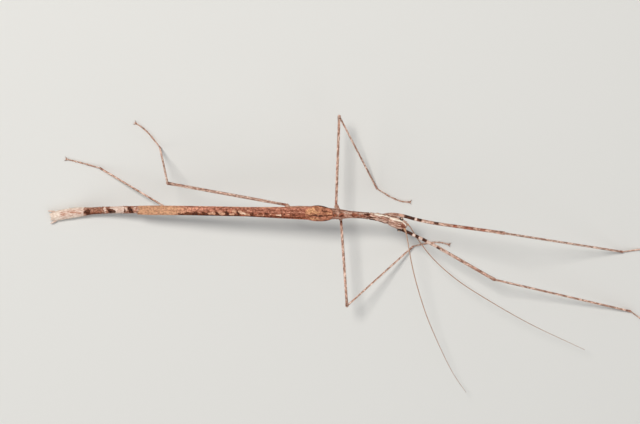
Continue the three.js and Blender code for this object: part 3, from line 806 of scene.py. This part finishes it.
def head_relief(along, turn):
    """Cheeks, brow and rims round the eyes on the plain head."""
    side = np.abs(turn)
    socket = np.where(turn < 0, EYES["left"][0], EYES["right"][0])
    eye_ring = np.sqrt(((along - socket) / 0.62) ** 2 + ((side - 78) / 30) ** 2)
    relief = 0.1 * hump(eye_ring, 1.0, 0.28) - 0.12 * hump(eye_ring, 0.0, 0.7)
    relief -= 0.04 * hump(turn, 0, 6) * stripe(along, 0.5, 2.6, 0.5)
    relief += 0.05 * hump(side, 34, 12) * stripe(along, 0.6, 3.6, 0.8)
    relief -= 0.07 * hump(along, 3.55, 0.22) * hump(turn, 0, 40)
    relief += 0.07 * hump(along, 3.95, 0.22) * hump(turn, 0, 34)
    relief -= 0.08 * hump(side, 62, 14) * hump(along, 3.75, 0.3)
    relief -= 0.06 * hump(side, 118, 8) * stripe(along, 0.8, 4.0, 0.6)
    relief += 0.1 * hump(side, 112, 20) * hump(along, 4.0, 0.24)
    relief -= 0.07 * hump(along, 3.62, 0.08) * step_up(side, 92, 12)
    relief += 0.05 * hump(side, 150, 22) * stripe(along, 2.4, 3.5, 0.5)
    return relief


def trunk_marks(x, turn):
    """Pale, rust and dark marks of the trunk, and its tone, at a place x along the insect. The tone holds
    painted shade on the lower flanks.
    """
    middle = hump(turn, -8, 27)
    pale = stripe(x, -63, -53.55, 0.3) * (1.22 - 0.5 * stripe(x, -58.9, -53.5, 1.2) * middle)
    pale += 0.95 * stripe(x, -47.3, -44.4, 0.5) * step_up(-turn, -62, 20)
    pale += 0.35 * stripe(x, -52.2, -49.2, 0.8) * hump(turn, -40, 40)
    collar = np.interp(x, [11.2, 12.2, 13.6, 15.6], [-58, -50, -47, -54])
    pale += 1.6 * ribbon(turn, collar, 14, 0.5) * stripe(x, 12.0, 16.2, 0.9)
    pale += 0.45 * ribbon(turn, 30, 7, 0.6) * stripe(x, 12.4, 15.2, 0.8)
    pale += spots(x, turn, TRUNK_PALE)
    rows = hump(turn, -36, 4) + hump(turn, -14, 4.5) + hump(turn, 8, 4)
    rust = 0.85 * stripe(x, -59.6, -53.7, 1.0) * np.minimum(1, 0.25 * middle + 0.8 * rows)
    rust += 0.5 * stripe(x, -53.4, -49.2, 0.5) * step_up(turn, -10, 60)
    rust += 0.5 * stripe(x, -48.4, -47.0, 0.4) + 0.5 * stripe(x, -43.1, -41.2, 0.4)
    rust += spots(x, turn, TRUNK_RUST) + drawn_lines(x, turn, TRUNK_RUST_LINES)
    dark = spots(x, turn, TRUNK_DARK) + 0.8 * hump(turn, -74, 9) * stripe(x, 2.5, 11.4, 1.5)
    tone = 0.5 + 0.32 * stripe(x, 9.5, 16, 1.5) - 0.3 * stripe(x, -53, -48, 1) - 0.12 * stripe(x, 2, 9.5, 2)
    # painted shade: the tone is darkened on both lower flanks, from the abdomen to the mid thorax
    tone -= 0.28 * stripe(x, -45, 4, 2) * step_up(np.abs(turn), 70, 30)
    return pale, rust, dark, tone


def head_marks(along, turn):
    """turn is degrees from the head's top, positive to the right."""
    side = np.abs(turn)
    cheek = np.interp(along, [-0.2, 0.3, 1.0, 2.0, 3.1, 3.7, 4.0, 4.35],
                      [-72, -54, -44, -42, -42, -32, -20, 8])
    width = np.interp(along, [0, 0.3, 1.2, 2.2, 3.0, 4.3], [8, 13, 15, 12, 9, 8])
    band = ribbon(side, 78, 15, 0.6) * stripe(along, 0.0, 2.5, 0.5)
    pale = 1.5 * ribbon(turn, cheek, width, 0.45) * stripe(along, -0.4, 4.5, 0.3)
    pale += 0.5 * ribbon(turn, 40, 7, 0.5) * stripe(along, 0.1, 3.4, 0.4)
    pale += 0.36 * band * stripe(along, 0.9, 2.3, 0.5) + 0.4 * spot(along, turn, (1.0, 6), (1.1, 34))
    pale += 0.42 * stripe(along, 3.1, 4.4, 0.3) * stripe(-turn, 58, 120, 12)
    dark = 0.5 * band * hump(side, 66, 7) + 0.34 * spot(along, turn, (4.0, -2), (0.45, 24))
    rust = drawn_lines(along, turn, HEAD_RUST_LINES) + 0.75 * spot(along, turn, (3.7, 4), (0.7, 34))
    tone = 0.8 - 0.35 * step_up(side, 80, 20) * (1 - step_up(along, 2.9, 0.4))
    return pale, rust, dark, tone


def add_trunk(skin):
    distance = np.arange(0.0, spine.length - 0.02, RING_STEP)
    angles = around(TRUNK_COUNT)
    frames = spine.frames(distance)
    width, below, above = eased(trunk_table(), distance, 0.16)
    aside, rise = oval(angles, width, below, above, 0.96)
    turn = np.broadcast_to(turn_of(angles), aside.shape)
    plain = rings(frames, aside, rise)
    relief = trunk_relief(distance[:, None], turn)
    relief += 0.02 * rough(plain, 2.2) + 0.012 * rough(plain, 5.0, 9.0)
    points = rings(frames, *raised(aside, rise, relief))
    lobes = 0.3 * (1 - step_up(distance, 0.6, 1.0))[:, None] * hump(np.abs(turn), 88, 30)
    points -= frames[1][:, None] * lobes[..., None]
    grounded(points)
    x = points[..., 0] + strayed(points, 0.22, 1.5, 1.0)
    calm = 1 - 0.7 * (1 - step_up(x, -53.5, 1.0))
    marks = trunk_marks(x, turn + calm * strayed(points, 8, 1.7, 3.0))
    drawn_out = distance - 0.5 * np.maximum(0, distance - JOINTS["prothorax"])
    skin.grid(points, lie_of(drawn_out, angles, width), marks)


def add_head(skin):
    along = np.concatenate([np.arange(-0.25, 4.25, HEAD_STEP), np.linspace(4.25, HEAD_LENGTH, 8)])
    angles = around(HEAD_COUNT)
    table = [(share * HEAD_LENGTH, *sizes) for share, *sizes in HEAD_GIRTHS]
    nose = np.clip((along - NOSE_START) / NOSE_DEPTH, 0, 1)
    close = np.sqrt(np.clip(1 - nose ** 2, 0.02, 1)) * (1 - 0.5 * (1 - step_up(along, 0.0, 0.5)))
    width, below, above = (size * close for size in eased(table, along, 0.1))
    aside, rise = oval(angles, width, below, above, 0.94)
    turn = np.broadcast_to(turn_of(angles), aside.shape)
    ahead = np.broadcast_to(along[:, None], aside.shape)
    relief = head_relief(ahead, turn) + 0.02 * rough(np.stack([ahead, aside, rise], -1), 3.0, 4.0)
    local = np.stack([ahead, *raised(aside, rise, relief)], -1)
    marks = head_marks(ahead + strayed(local, 0.06, 2.0, 1.0), turn + strayed(local, 3, 1.5, 3.0))
    skin.grid(neck + local @ HEAD_FRAME, lie_of(0.45 * along + spine.length, angles, width), marks)


def add_mouth(skin):
    """The palps under the head, and the collars that the feelers rise from."""
    palps = (((3.55, 0.5, -0.72), (4.0, 0.62, -0.98), (4.12, 0.5, -1.32), (3.9, 0.36, -1.56)),
             ((3.2, 0.2, -0.96), (3.62, 0.26, -1.22), (3.68, 0.2, -1.5)))
    collar = [(0, 0.5), (0.25, 0.68), (0.36, 0.66), (0.42, 0.5), (0.45, 0.3)]
    for sign in SIDES.values():
        for points in palps:
            path = [on_head(along, sign * aside, up) for along, aside, up in points]
            length = sum(np.linalg.norm(b - a) for a, b in zip(path, path[1:]))
            table = [(0, 0.14)]
            for end in np.linspace(0, length, len(points))[1:]:
                table += [(end - 0.2, 0.15), (end - 0.06, 0.2), (end, 0.12)]
            limb(skin, smooth_curve(path, 8), table, toe_marks, 2.0 + sign, step=0.04, count=14)
    for name, sign in SIDES.items():
        axis = Axis(smooth_curve(FEELERS[name]))
        start, aim = axis.at(0.0), axis.heading(0.0)
        limb(skin, [start - aim * 0.35, start, start + aim * 0.1], collar, socket_marks, 4.0 + sign,
             step=0.04, count=22)


def socket_marks(d, turn):
    return 0.3, 0.25, 0, 1.0


# ---------------------------------------------------------------- skin: legs

TOE_HEIGHT = 0.21  # of the foot's axis
FOOT_PAD = [(0, 0.1), (0.08, 0.28), (0.22, 0.36), (0.38, 0.3), (0.44, 0.08)]
CLAW_GIRTHS = ([0, 0.15, 0.6, 1], [0.2, 0.19, 0.12, 0.02])


def limb(skin, path, table, marks, seed, keels=0.0, step=0.12, flatten=1.0, count=24):
    """A leg's stretch along a path. table is (distance, width). keels square the section."""
    axis = Axis(path)
    ends = np.array([0.0, 0.03, 0.08])
    distance = np.concatenate([ends, np.arange(0.12, axis.length - 0.12, step), axis.length - ends[::-1]])
    (width,) = eased(table, distance, 0.05)
    angles = around(count)
    points = tube(axis, distance, angles, width, 1 + keels * np.cos(4 * (angles - math.pi / 4)), flatten)
    centre = axis.at(distance)[:, None]
    uneven = 0.03 * rough(points, 1.6, 2.0) + 0.02 * rough(points, 5.0, 6.0)
    points = centre + (points - centre) * (1 + uneven)[..., None]
    grounded(points)
    skin.grid(points, lie_of(distance, angles, width, seed), marks(distance[:, None], turn_of(angles)))


def leg_points(name):
    """A leg's sizes, side, and the places of its root, hip, knee and ankle."""
    leg = LEGS[name]
    kind, _, side = name.split("_")
    pair, sign = PAIRS[kind], SIDES[side]
    hip = np.array(leg["hip"], float)
    knee = hip + heading(*leg["femur"]) * pair["femur"]
    slope = math.degrees(math.asin((knee[2] - ANKLE_HEIGHT) / pair["tibia"]))
    ankle = knee + heading(leg["tibia"], -slope) * pair["tibia"]
    root = np.array(pair["coxa"]) + np.array([0, sign * 0.35, 0])
    return leg, pair, sign, root, hip, knee, ankle


def bands(d, table, softness=0.3):
    """The strongest of several bands, each (start, end, strength)."""
    return np.max([strength * stripe(d, start, end, softness) for start, end, strength in table], axis=0)


def front_left_marks(d, turn):
    dark = bands(d, ((6.5, 8.95, 0.85), (9.55, 10.6, 0.85), (13.5, 14.6, 0.75), (16.8, 17.5, 0.4),
                     (19.8, 20.8, 0.4), (28.1, 29.8, 0.45)))
    dark = dark * (1 - 0.5 * hump(turn, 40, 26) * step_up(d, 9, 1))
    pale = bands(d, ((8.95, 9.55, 0.75), (10.7, 11.5, 0.5), (11.9, 12.7, 0.45), (14.8, 16, 0.3)))
    pale = pale + 0.3 * hump(turn, 10, 40) * stripe(d, 0.5, 6.3, 0.8)
    rust = bands(d, ((17.8, 18.9, 0.7), (20.3, 22.6, 0.7), (23.9, 25.4, 0.6), (26.4, 28, 0.4)), 0.6)
    return pale, rust + 0.42 * stripe(d, -1, 6.6, 0.6), dark, 0.66


def front_right_marks(d, turn):
    dark = bands(d, ((5.4, 8.15, 0.8), (8.85, 9.75, 0.8), (10.65, 11.65, 0.95), (14.3, 15.2, 0.75),
                     (18.6, 19.6, 0.3), (28.1, 29.8, 0.45)))
    dark = dark * (1 - 0.6 * hump(turn, -50, 40) * step_up(d, 14, 0.4))
    pale = bands(d, ((8.2, 8.8, 0.8), (9.8, 10.6, 0.75), (11.75, 12.8, 0.8), (13.2, 14.3, 1.1),
                     (15.4, 18, 0.4)), 0.35)
    rust = 0.45 * stripe(d, -1, 5.2, 0.6) + 0.45 * stripe(d, 12.6, 13.0, 0.3)
    return pale, rust, dark, 0.72


def femur_marks(kind, sign):
    if kind == "front":
        return front_left_marks if sign > 0 else front_right_marks
    end = PAIRS[kind]["femur"]

    def marks(d, turn):
        dark = bands(d, ((0.3, 1.1, 0.75 if sign < 0 else 0.2), (6.2, 7.2, 0.34), (12.6, 13.6, 0.34),
                         (end - 0.7, end + 0.6, 0.5)), 0.6)
        pale = bands(d, ((7.3, 8.2, 0.4), (13.8, 14.6, 0.4), (1.4, 5, 0.2)), 0.6)
        return pale, 0.6 * stripe(d, -1, 1.6, 0.6), dark, 0.85

    return marks


def tibia_marks(kind):
    length = PAIRS[kind]["tibia"]

    def marks(d, turn):
        dark = 0.4 * stripe(d, -1, 0.5, 0.4) + 0.28 * stripe(d, length * 0.32, length * 0.36, 0.8)
        pale = 0.25 * stripe(d, length * 0.1, length * 0.3, 2)
        return pale, 0.5 * step_up(d, length - 1.3, 0.8), dark, 0.95

    return marks


def toe_marks(d, turn):
    return 0.12, 0.1, 0, 0.85


def coxa_marks(d, turn):
    return 0, 0.35, 0.1 * step_up(d, 0.5, 0.5), 0.55


def coxa_table(reach):
    """The girth from the root in the trunk to a round end at the femur's base."""
    root = [(0, 1.02), (reach * 0.5, 1.04), (reach * 0.62, 0.94), (reach * 0.7, 1.02)]
    end = [(-0.3, 1.0), (-0.08, 0.9), (0.08, 0.72), (0.19, 0.48), (0.26, 0.22), (0.28, 0.06)]
    return root + [(reach + step, width) for step, width in end]


def femur_table(femur, base, middle, end):
    start = [(0, 0.1), (0.06, base * 0.5), (0.16, base * 0.8), (0.34, base * 0.96), (0.75, base * 0.98),
             (0.9, base * 0.88), (1.1, base), (0.12 * femur, base)]
    return start + [(0.2 * femur, middle), (0.6 * femur, middle * 0.96), (0.95 * femur, middle * 0.94),
                    (femur, end), (femur + 0.35, end), (femur + 0.3 + end * 0.36, end * 0.6),
                    (femur + 0.3 + end * 0.42, 0.1)]


def tibia_table(tibia, shin):
    return [(0, shin * 0.7), (0.45, shin * 1.12), (0.9, shin), (0.5 * tibia, shin * 0.96),
            (tibia - 0.8, shin), (tibia - 0.1, shin * 1.16), (tibia + 0.1 + shin * 0.25, shin),
            (tibia + 0.1 + shin * 0.4, 0.1)]


def toe_table(run, i):
    """The girths of a foot's joint of length run. The first is stouter and the last has no neck."""
    if i == len(TOE_JOINTS) - 1:
        return [(0, 0.18), (0.1, 0.24), (0.6 * run, 0.34), (run * 0.95, 0.4), (run + 0.08, 0.1)]
    return [(0, 0.2), (0.06, 0.28), (0.15 * run, 0.25 if i else 0.27), (0.7 * run, 0.33),
            (run * 0.92, 0.42), (run * 1.02, 0.36), (run * 1.02 + 0.08, 0.1)]


def toe_joints(pair, leg, ankle):
    """For each joint of the foot its start, end and heading."""
    joints, place = [], ankle
    first, last = leg["tarsus"]
    for i, share in enumerate(TOE_JOINTS):
        yaw = first + (last - first) * i / (len(TOE_JOINTS) - 1)
        end = place + heading(yaw) * pair["tarsus"] * share
        end[2] = TOE_HEIGHT
        joints.append((place, end, yaw))
        place = end
    return joints


def add_leg(skin, claws, name):
    leg, pair, sign, root, hip, knee, ankle = leg_points(name)
    kind = name.split("_")[0]
    seed = 3.7 * (1 + list(LEGS).index(name))
    direction, down = unit(knee - hip), unit(ankle - knee)
    inward = unit(np.cross(direction, UP)) * sign
    bends = leg.get("bend", pair["bend"])

    base = hip + inward * bends[0][1]
    limb(skin, [root, (root + base) / 2, base + unit(base - root) * 0.28],
         coxa_table(np.linalg.norm(base - root)), coxa_marks, seed)

    bend = smooth_curve([(share * pair["femur"], offset, 0) for share, offset in bends], 12)
    path = [hip + direction * d + inward * offset for d, offset, _ in bend]
    path = [path[0] - direction * 0.3, *path, knee + direction * pair["end"] * 0.42]
    table = femur_table(pair["femur"], leg.get("root", pair["root"]), pair["middle"], pair["end"])
    limb(skin, path, table, femur_marks(kind, sign), seed + 0.5, keels=0.06)

    shin = pair["shin"]
    limb(skin, [knee - down * 0.1, knee + down * 0.5, ankle + down * shin * 0.4],
         tibia_table(pair["tibia"], shin), tibia_marks(kind), seed + 1.1, keels=0.05)

    for i, (start, stop, yaw) in enumerate(toe_joints(pair, leg, ankle)):
        forward = unit(stop - start)
        limb(skin, [start - forward * 0.02, stop + forward * 0.08],
             toe_table(np.linalg.norm(stop - start), i), toe_marks, seed + i, step=0.06, count=18)
    ahead = heading(yaw)
    limb(skin, [stop - ahead * 0.1, stop + ahead * 0.34 - UP * 0.03], FOOT_PAD, toe_marks, seed,
         step=0.04, flatten=0.7, count=16)
    for spread in (-1, 1):
        add_claw(claws, stop, yaw, spread)


def add_claw(claws, stop, yaw, spread):
    """A curved claw beside the foot's pad."""
    forward, aim = heading(yaw), heading(yaw + spread * CLAW_SPREAD)
    base = stop - forward * 0.1 + np.cross(UP, forward) * spread * 0.07
    t = np.linspace(0, 1, 18)
    axis = Axis(base + aim * t[:, None] * CLAW_LENGTH
                + UP * (0.12 * np.sin(math.pi * t) - 0.14 * t ** 2)[:, None])
    distance, angles = t * axis.length, around(10)
    width = np.interp(t, *CLAW_GIRTHS)
    points = tube(axis, distance, angles, width)
    grounded(points, 0.002)
    claws.grid(points, lie_of(distance, angles, width), (0, 0, 0, 0.5 - 0.5 * t[:, None]))


# ---------------------------------------------------------------- wings, covers, tail and feelers

MIDLINE_GAP = 0.01
COVER_LAP = 0.2  # share of the right cover that the left one laps over


def spine_by_x(x):
    """The trunk's axis where it passes x: place, heading, left side and top."""
    return spine.frames(np.interp(x, spine.points[:, 0], spine.reach))


def leaf(surface, sign, start, stop, reach, height, thickness, marks, rows, across, slant=0.0):
    """A leaf over the back from the midline out to reach(t), at height(t, share, half)."""
    t = np.linspace(0, 1, rows)
    x = start + (stop - start) * t
    frames = spine_by_x(x)
    share = np.broadcast_to(np.sin(np.linspace(0, math.pi / 2, across)), (rows, across))
    over_t = np.broadcast_to(t[:, None], (rows, across))
    half = reach(t)[:, None]
    over = height(over_t, share, half)
    under = over - thickness * (1 - 0.6 * share ** 6) * np.minimum(1, 0.3 + over_t * 20)
    halves = ((share, share[:, ::-1]), (under, over[:, ::-1]))
    if sign < 0:
        halves = ((share[:, ::-1], share), (under[:, ::-1], over))
    share, rise = (np.concatenate(pair, 1) for pair in halves)
    points = rings(frames, sign * (MIDLINE_GAP + share * half), rise)
    back = slant * (1 - share) * (1 - np.minimum(1, t * 30))[:, None]
    points += frames[1][:, None] * back[..., None]
    x = np.broadcast_to(x[:, None], share.shape)
    lie = np.stack([x, share * half * sign, np.full(x.shape, 0.5 + sign)], -1)
    surface.grid(points, lie, marks(x + strayed(points, 0.3, 1.3, 2.0),
                                    share + strayed(points, 0.09, 1.6, 4.0), sign))


# Patches over both wings: place along and across, half sizes, slant, strength.
WING_PATCHES = (
    ((-24.3, 0.52), (0.95, 0.24), 1.0, 1.0), ((-24.0, 0.2), (0.4, 0.16), 0.6, 0.7),
    ((-22.1, 0.42), (0.74, 0.46), 0.5, 1.0), ((-19.05, -0.06), (0.62, 0.34), 0.3, 1.0),
    ((-19.5, 0.6), (0.62, 0.28), 0.4, 1.0), ((-17.5, 0.12), (0.62, 0.46), 0.3, 1.1),
    ((-16.3, 0.52), (0.9, 0.3), 0.6, 0.85), ((-15.8, -0.3), (0.4, 0.18), 0.0, 0.6),
    ((-10.9, 0.46), (0.26, 0.15), 0.0, 0.8), ((-9.05, 0.56), (0.38, 0.16), 0.0, 1.3),
    ((-7.2, 0.3), (0.32, 0.12), 0.0, 0.7), ((-27.0, 0.3), (0.3, 0.2), 0.6, 0.5),
    ((-12.4, -0.4), (0.5, 0.1), 0.0, 0.5))
WING_BLOTS = (
    ((-29.4, 0.56), (0.75, 0.26), 0.0, 0.9), ((-27.7, 0.44), (0.5, 0.34), 0.5, 0.9),
    ((-25.9, 0.5), (0.5, 0.4), 0.3, 0.95), ((-23.25, 0.36), (0.3, 0.36), 0.4, 0.9),
    ((-20.75, 0.4), (0.62, 0.5), 0.4, 1.1), ((-18.2, 0.34), (0.3, 0.54), 0.3, 1.15),
    ((-14.9, 0.58), (0.42, 0.38), 0.3, 1.0), ((-13.1, 0.2), (0.4, 0.16), 0.0, 0.8),
    ((-11.9, 0.36), (0.3, 0.18), 0.0, 0.95), ((-10.2, 0.2), (0.3, 0.14), 0.0, 0.6),
    ((-8.1, 0.3), (0.3, 0.14), 0.0, 0.8), ((-5.9, 0.4), (0.4, 0.16), 0.0, 0.6))


def wing_marks(x, share, sign):
    """share runs from the midline to the outer edge. The pattern runs across both wings, and painted shade
    darkens the right wing's outer side.
    """
    along = (x - WING["tip"]) / (WING["front"] - WING["tip"])
    across = -sign * share * eased(WING["widths"], along)[0]
    loop = np.sqrt(((x + 13.1) / 0.68) ** 2 + ((across - 0.34) / 0.42) ** 2)
    pale = spots(x, across, WING_PATCHES) + 0.9 * hump(loop, 1.0, 0.24) * step_up(across, 0.3, 0.2)
    dark = spots(x, across, WING_BLOTS) * (1 - 0.8 * np.clip(pale, 0, 1)) + 0.45 * hump(share, 0.0, 0.03)
    brick = step_up(x, -24, 7)
    rust = 0.42 * step_up(x, -31, 5) + 0.05 * brick + 0.25 * hump(share, 0.4, 0.16) * brick
    if sign > 0:
        pale += 0.7 * step_up(share, 0.93, 0.06) * step_up(x, -38, 6)
        rust += 0.7 * hump(share, 0.86, 0.05) * step_up(x, -36, 6)
    else:
        # dark band over the right wing's outer half: the wing's own mottled pattern, deepened with painted
        # shade on the lower side
        band = step_up(share, 0.42, 0.36) * stripe(x, -32.5, -17.5, 3)
        dark += 0.68 * band * (1 - np.clip(pale, 0, 1))
        # dark stripe along the right wing's outer edge: painted shade on the lower edge, with some dark
        # pigment
        dark += 1.1 * hump(across, 1.0, 0.13) * stripe(x, -16.5, -3, 2)
        rust += 0.3 * step_up(x, -27, 5)
    tone = 0.95 - 0.95 * step_up(x, -30.5, 6) + 0.1 * (1 - share)
    return pale, rust, dark, tone


def add_wings(material):
    def reach(t):
        return eased(WING["widths"], t, 0.01)[0]

    for name, sign in SIDES.items():
        def height(t, share, half):
            arch = np.sqrt(1 - 0.62 * share ** 2 * np.minimum(1, half))
            veins = 0.022 * np.cos(share * 2 * math.pi * 5.5) * (1 - share ** 4)
            rim = 0.05 * hump(share, 0.93, 0.06)
            tip = 0.1 * (1 - np.minimum(1, t * 18))
            overlap = 0.03 * (sign > 0) * hump(share, 0, 0.3)
            return (WING["lift"] + WING["thickness"]) * arch + veins + rim - tip + overlap

        surface = Surface()
        start = WING["tip"] if sign > 0 else WING["tip"] - WING["lag"]
        leaf(surface, sign, start, WING["front"], reach, height, WING["thickness"], wing_marks,
             rows=420, across=26, slant=WING["slant"])
        surface.build(f"folded_wing_{name}", material, [f"wing_{name}"])


def cover_marks(x, share, sign):
    """share runs from the midline to the outer edge. The left cover laps over the right one."""
    across = -sign * share
    lap = COVER_LAP + 0.02 * np.sin(x * 2.3) + 0.015 * np.sin(x * 5.1)
    dark = 1.7 * hump(across, lap + 0.02, 0.075) * stripe(x, -2.7, 3.2, 0.6)
    dark += 0.6 * hump(across, lap - 0.14, 0.04) * stripe(x, -0.8, 2.6, 0.8)
    dark += 0.85 * spot(x, across, (1.2, -0.46), (1.1, 0.07), 2.0)
    dark += 0.7 * step_up(-across, 0.9, 0.1) * step_up(x, -1.6, 1)
    dark += 0.8 * step_up(across, 0.86, 0.1) * step_up(x, 1.0, 0.6)
    rust = 0.5 * step_up(x, 0.8, 2.0) * hump(across, -0.15, 0.2) + 0.4 * hump(across, 0.4, 0.1)
    pale = spots(x, across, (((-1.9, -0.4), (0.9, 0.3), 0, 0.9), ((-0.6, -0.2), (0.6, 0.12), 0, 0.6),
                             ((1.7, -0.2), (0.9, 0.14), 0, 0.5), ((-1.0, 0.66), (1.4, 0.16), 0, 0.5)))
    tone = 0.9 * (1 - step_up(x, 0.2, 3.2)) * (1 - step_up(across, lap, 0.06)) * step_up(across, -0.85, 0.12)
    return pale, rust, dark, tone


def add_covers(material):
    def reach(t):
        ends = round_end(t, 0.16) * round_end(1 - t, 0.1)
        return COVER["width"] * np.sin(math.pi * (0.2 + 0.64 * t)) ** 0.8 * (0.35 + 0.65 * ends)

    for name, sign in SIDES.items():
        def height(t, share, half):
            arch = np.sqrt(np.clip(1 - 0.5 * (share * half) ** 2 / 1.9 - 0.1 * share ** 4, 0.05, 1))
            arch = arch * (0.86 + 0.14 * round_end(np.minimum(t, 1 - t), 0.14))
            swell = 0.16 * hump(t, 0.46, 0.2) * hump(share, 0.45, 0.28)
            groove = 0.07 * hump(share, COVER_LAP + 0.03, 0.03) * (sign < 0)
            veins = 0.03 * np.cos(share * 2 * math.pi * 3.5 + 0.6) + 0.035 * hump(share, 0.36, 0.05)
            crown = COVER["lift"] + COVER["thickness"] + 0.08 * np.sin(math.pi * t)
            return crown * arch + swell - groove + veins * (1 - share ** 6)

        surface = Surface()
        leaf(surface, sign, COVER["back"], COVER["front"], reach, height, COVER["thickness"],
             cover_marks, rows=130, across=30)
        surface.build(f"wing_cover_{name}", material, [f"tegmen_{name}"])


def add_cerci(material):
    centre, along, side, _ = spine.frames(CERCUS["start"])
    splay = math.radians(CERCUS["splay"])
    share = np.linspace(0, 1, 44)
    width = np.interp(share, [0, 0.12, 0.55, 0.9, 1], [0.34, CERCUS["root"], 0.4, CERCUS["tip"], 0.08])
    angles = around(22)
    t = np.linspace(0, 1, 40)[:, None]
    for name, sign in SIDES.items():
        surface = Surface()
        start = centre + side * sign * CERCUS["aside"] + UP * 0.02 + along * 0.15
        aim = side * sign * math.sin(splay) - along * math.cos(splay)
        axis = Axis(start + aim * t * (CERCUS["length"] + 0.25) - side * sign * 0.12 * t ** 2)
        distance = share * axis.length
        surface.grid(tube(axis, distance, angles, width), lie_of(distance, angles, width),
                     (0.55 + 0.2 * share[:, None], 0, 0, 0.95))
        surface.build(f"tail_feeler_{name}", material, [f"cercus_{name}"])


def add_feelers(material):
    angles = around(12)
    for name, sign in SIDES.items():
        surface = Surface()
        axis = Axis(smooth_curve(FEELERS[name]))
        distance = np.arange(0, axis.length, 0.09)
        share = distance / axis.length
        places = [0, 0.12, 0.5, 1.05, 1.15, 1.35, 1.75, 1.85, 4, axis.length * 0.5, axis.length]
        girths = [0.3, 0.5, 0.56, 0.48, 0.26, 0.34, 0.32, 0.25, 0.24, 0.2, 0.09]
        joint = np.cos(distance * 2 * math.pi / (0.75 + 0.6 * share)) > 0.9
        joint = joint & (distance > 1.85)
        width = np.interp(distance, places, girths) * (1 - 0.2 * joint)
        rust = (1 - step_up(distance, 1.1, 0.3)) * (0.9 if sign > 0 else 0.45)
        tone = 0.8 - 0.3 * share - 0.6 * joint
        surface.grid(tube(axis, distance, angles, width), lie_of(distance, angles, width),
                     (0, rust[:, None], 0, tone[:, None]))
        surface.build(f"feeler_{name}", material,
                      [f"antenna_{name}_{part}" for part in ("base", "mid", "tip")])


def add_eyes(material):
    polar = np.linspace(0.02, math.pi - 0.02, EYE_RINGS)
    from_pole = np.degrees(polar)[:, None]
    angles = around(EYE_COUNT)
    length, height, depth = (size / 2 for size in EYE_SIZE)
    ring = np.sin(polar)[:, None, None]
    for name, sign in SIDES.items():
        surface = Surface()
        along, aside, up = EYES[name]
        outward = unit(np.array(EYE_FACING[name]))
        lengthwise = unit(np.cross(np.cross(outward, [1, 0, 0]), outward))
        upright = np.cross(lengthwise, outward) * sign
        local = ring * (np.cos(angles)[:, None] * lengthwise * length
                        + np.sin(angles)[:, None] * upright * height)
        local = local + np.cos(polar)[:, None, None] * outward * depth
        if sign > 0:
            local = local[:, ::-1]
        points = neck + (np.array([along, sign * aside, up]) + local) @ HEAD_FRAME
        # the pale mark round the pole is a painted reflection, a bright highlight inside the eye's dark ring
        marks = (0.8 * (1 - step_up(from_pole, 26, 16)), 0, stripe(from_pole, 32, 78, 16),
                 0.5 + 0.5 * np.sin(np.radians(from_pole) * 14))
        surface.grid(points, lie_of(np.degrees(polar), angles, np.ones(len(polar))), marks)
        surface.build(f"compound_eye_{name}", material, [f"eye_{name}"])


# ---------------------------------------------------------------- making

place_camera()
light_studio()
make_groups()
lay_floor(floor_material())

skin_finish = skin_material()
horn_finish = horn_material()
skin = Surface()
claws = Surface()
add_trunk(skin)
add_head(skin)
add_mouth(skin)
for leg_name in LEGS:
    add_leg(skin, claws, leg_name)
flesh = list(STRETCHES) + ["head"] + [f"{leg}_{joint}" for leg in LEGS
                                      for joint in ("coxa", "femur", "tibia", "tarsus")]
skin.build("skin", skin_finish, flesh)
claws.build("claws", horn_finish)
add_wings(wing_material())
add_covers(cover_material())
add_cerci(skin_finish)
add_feelers(horn_finish)
add_eyes(eye_material())
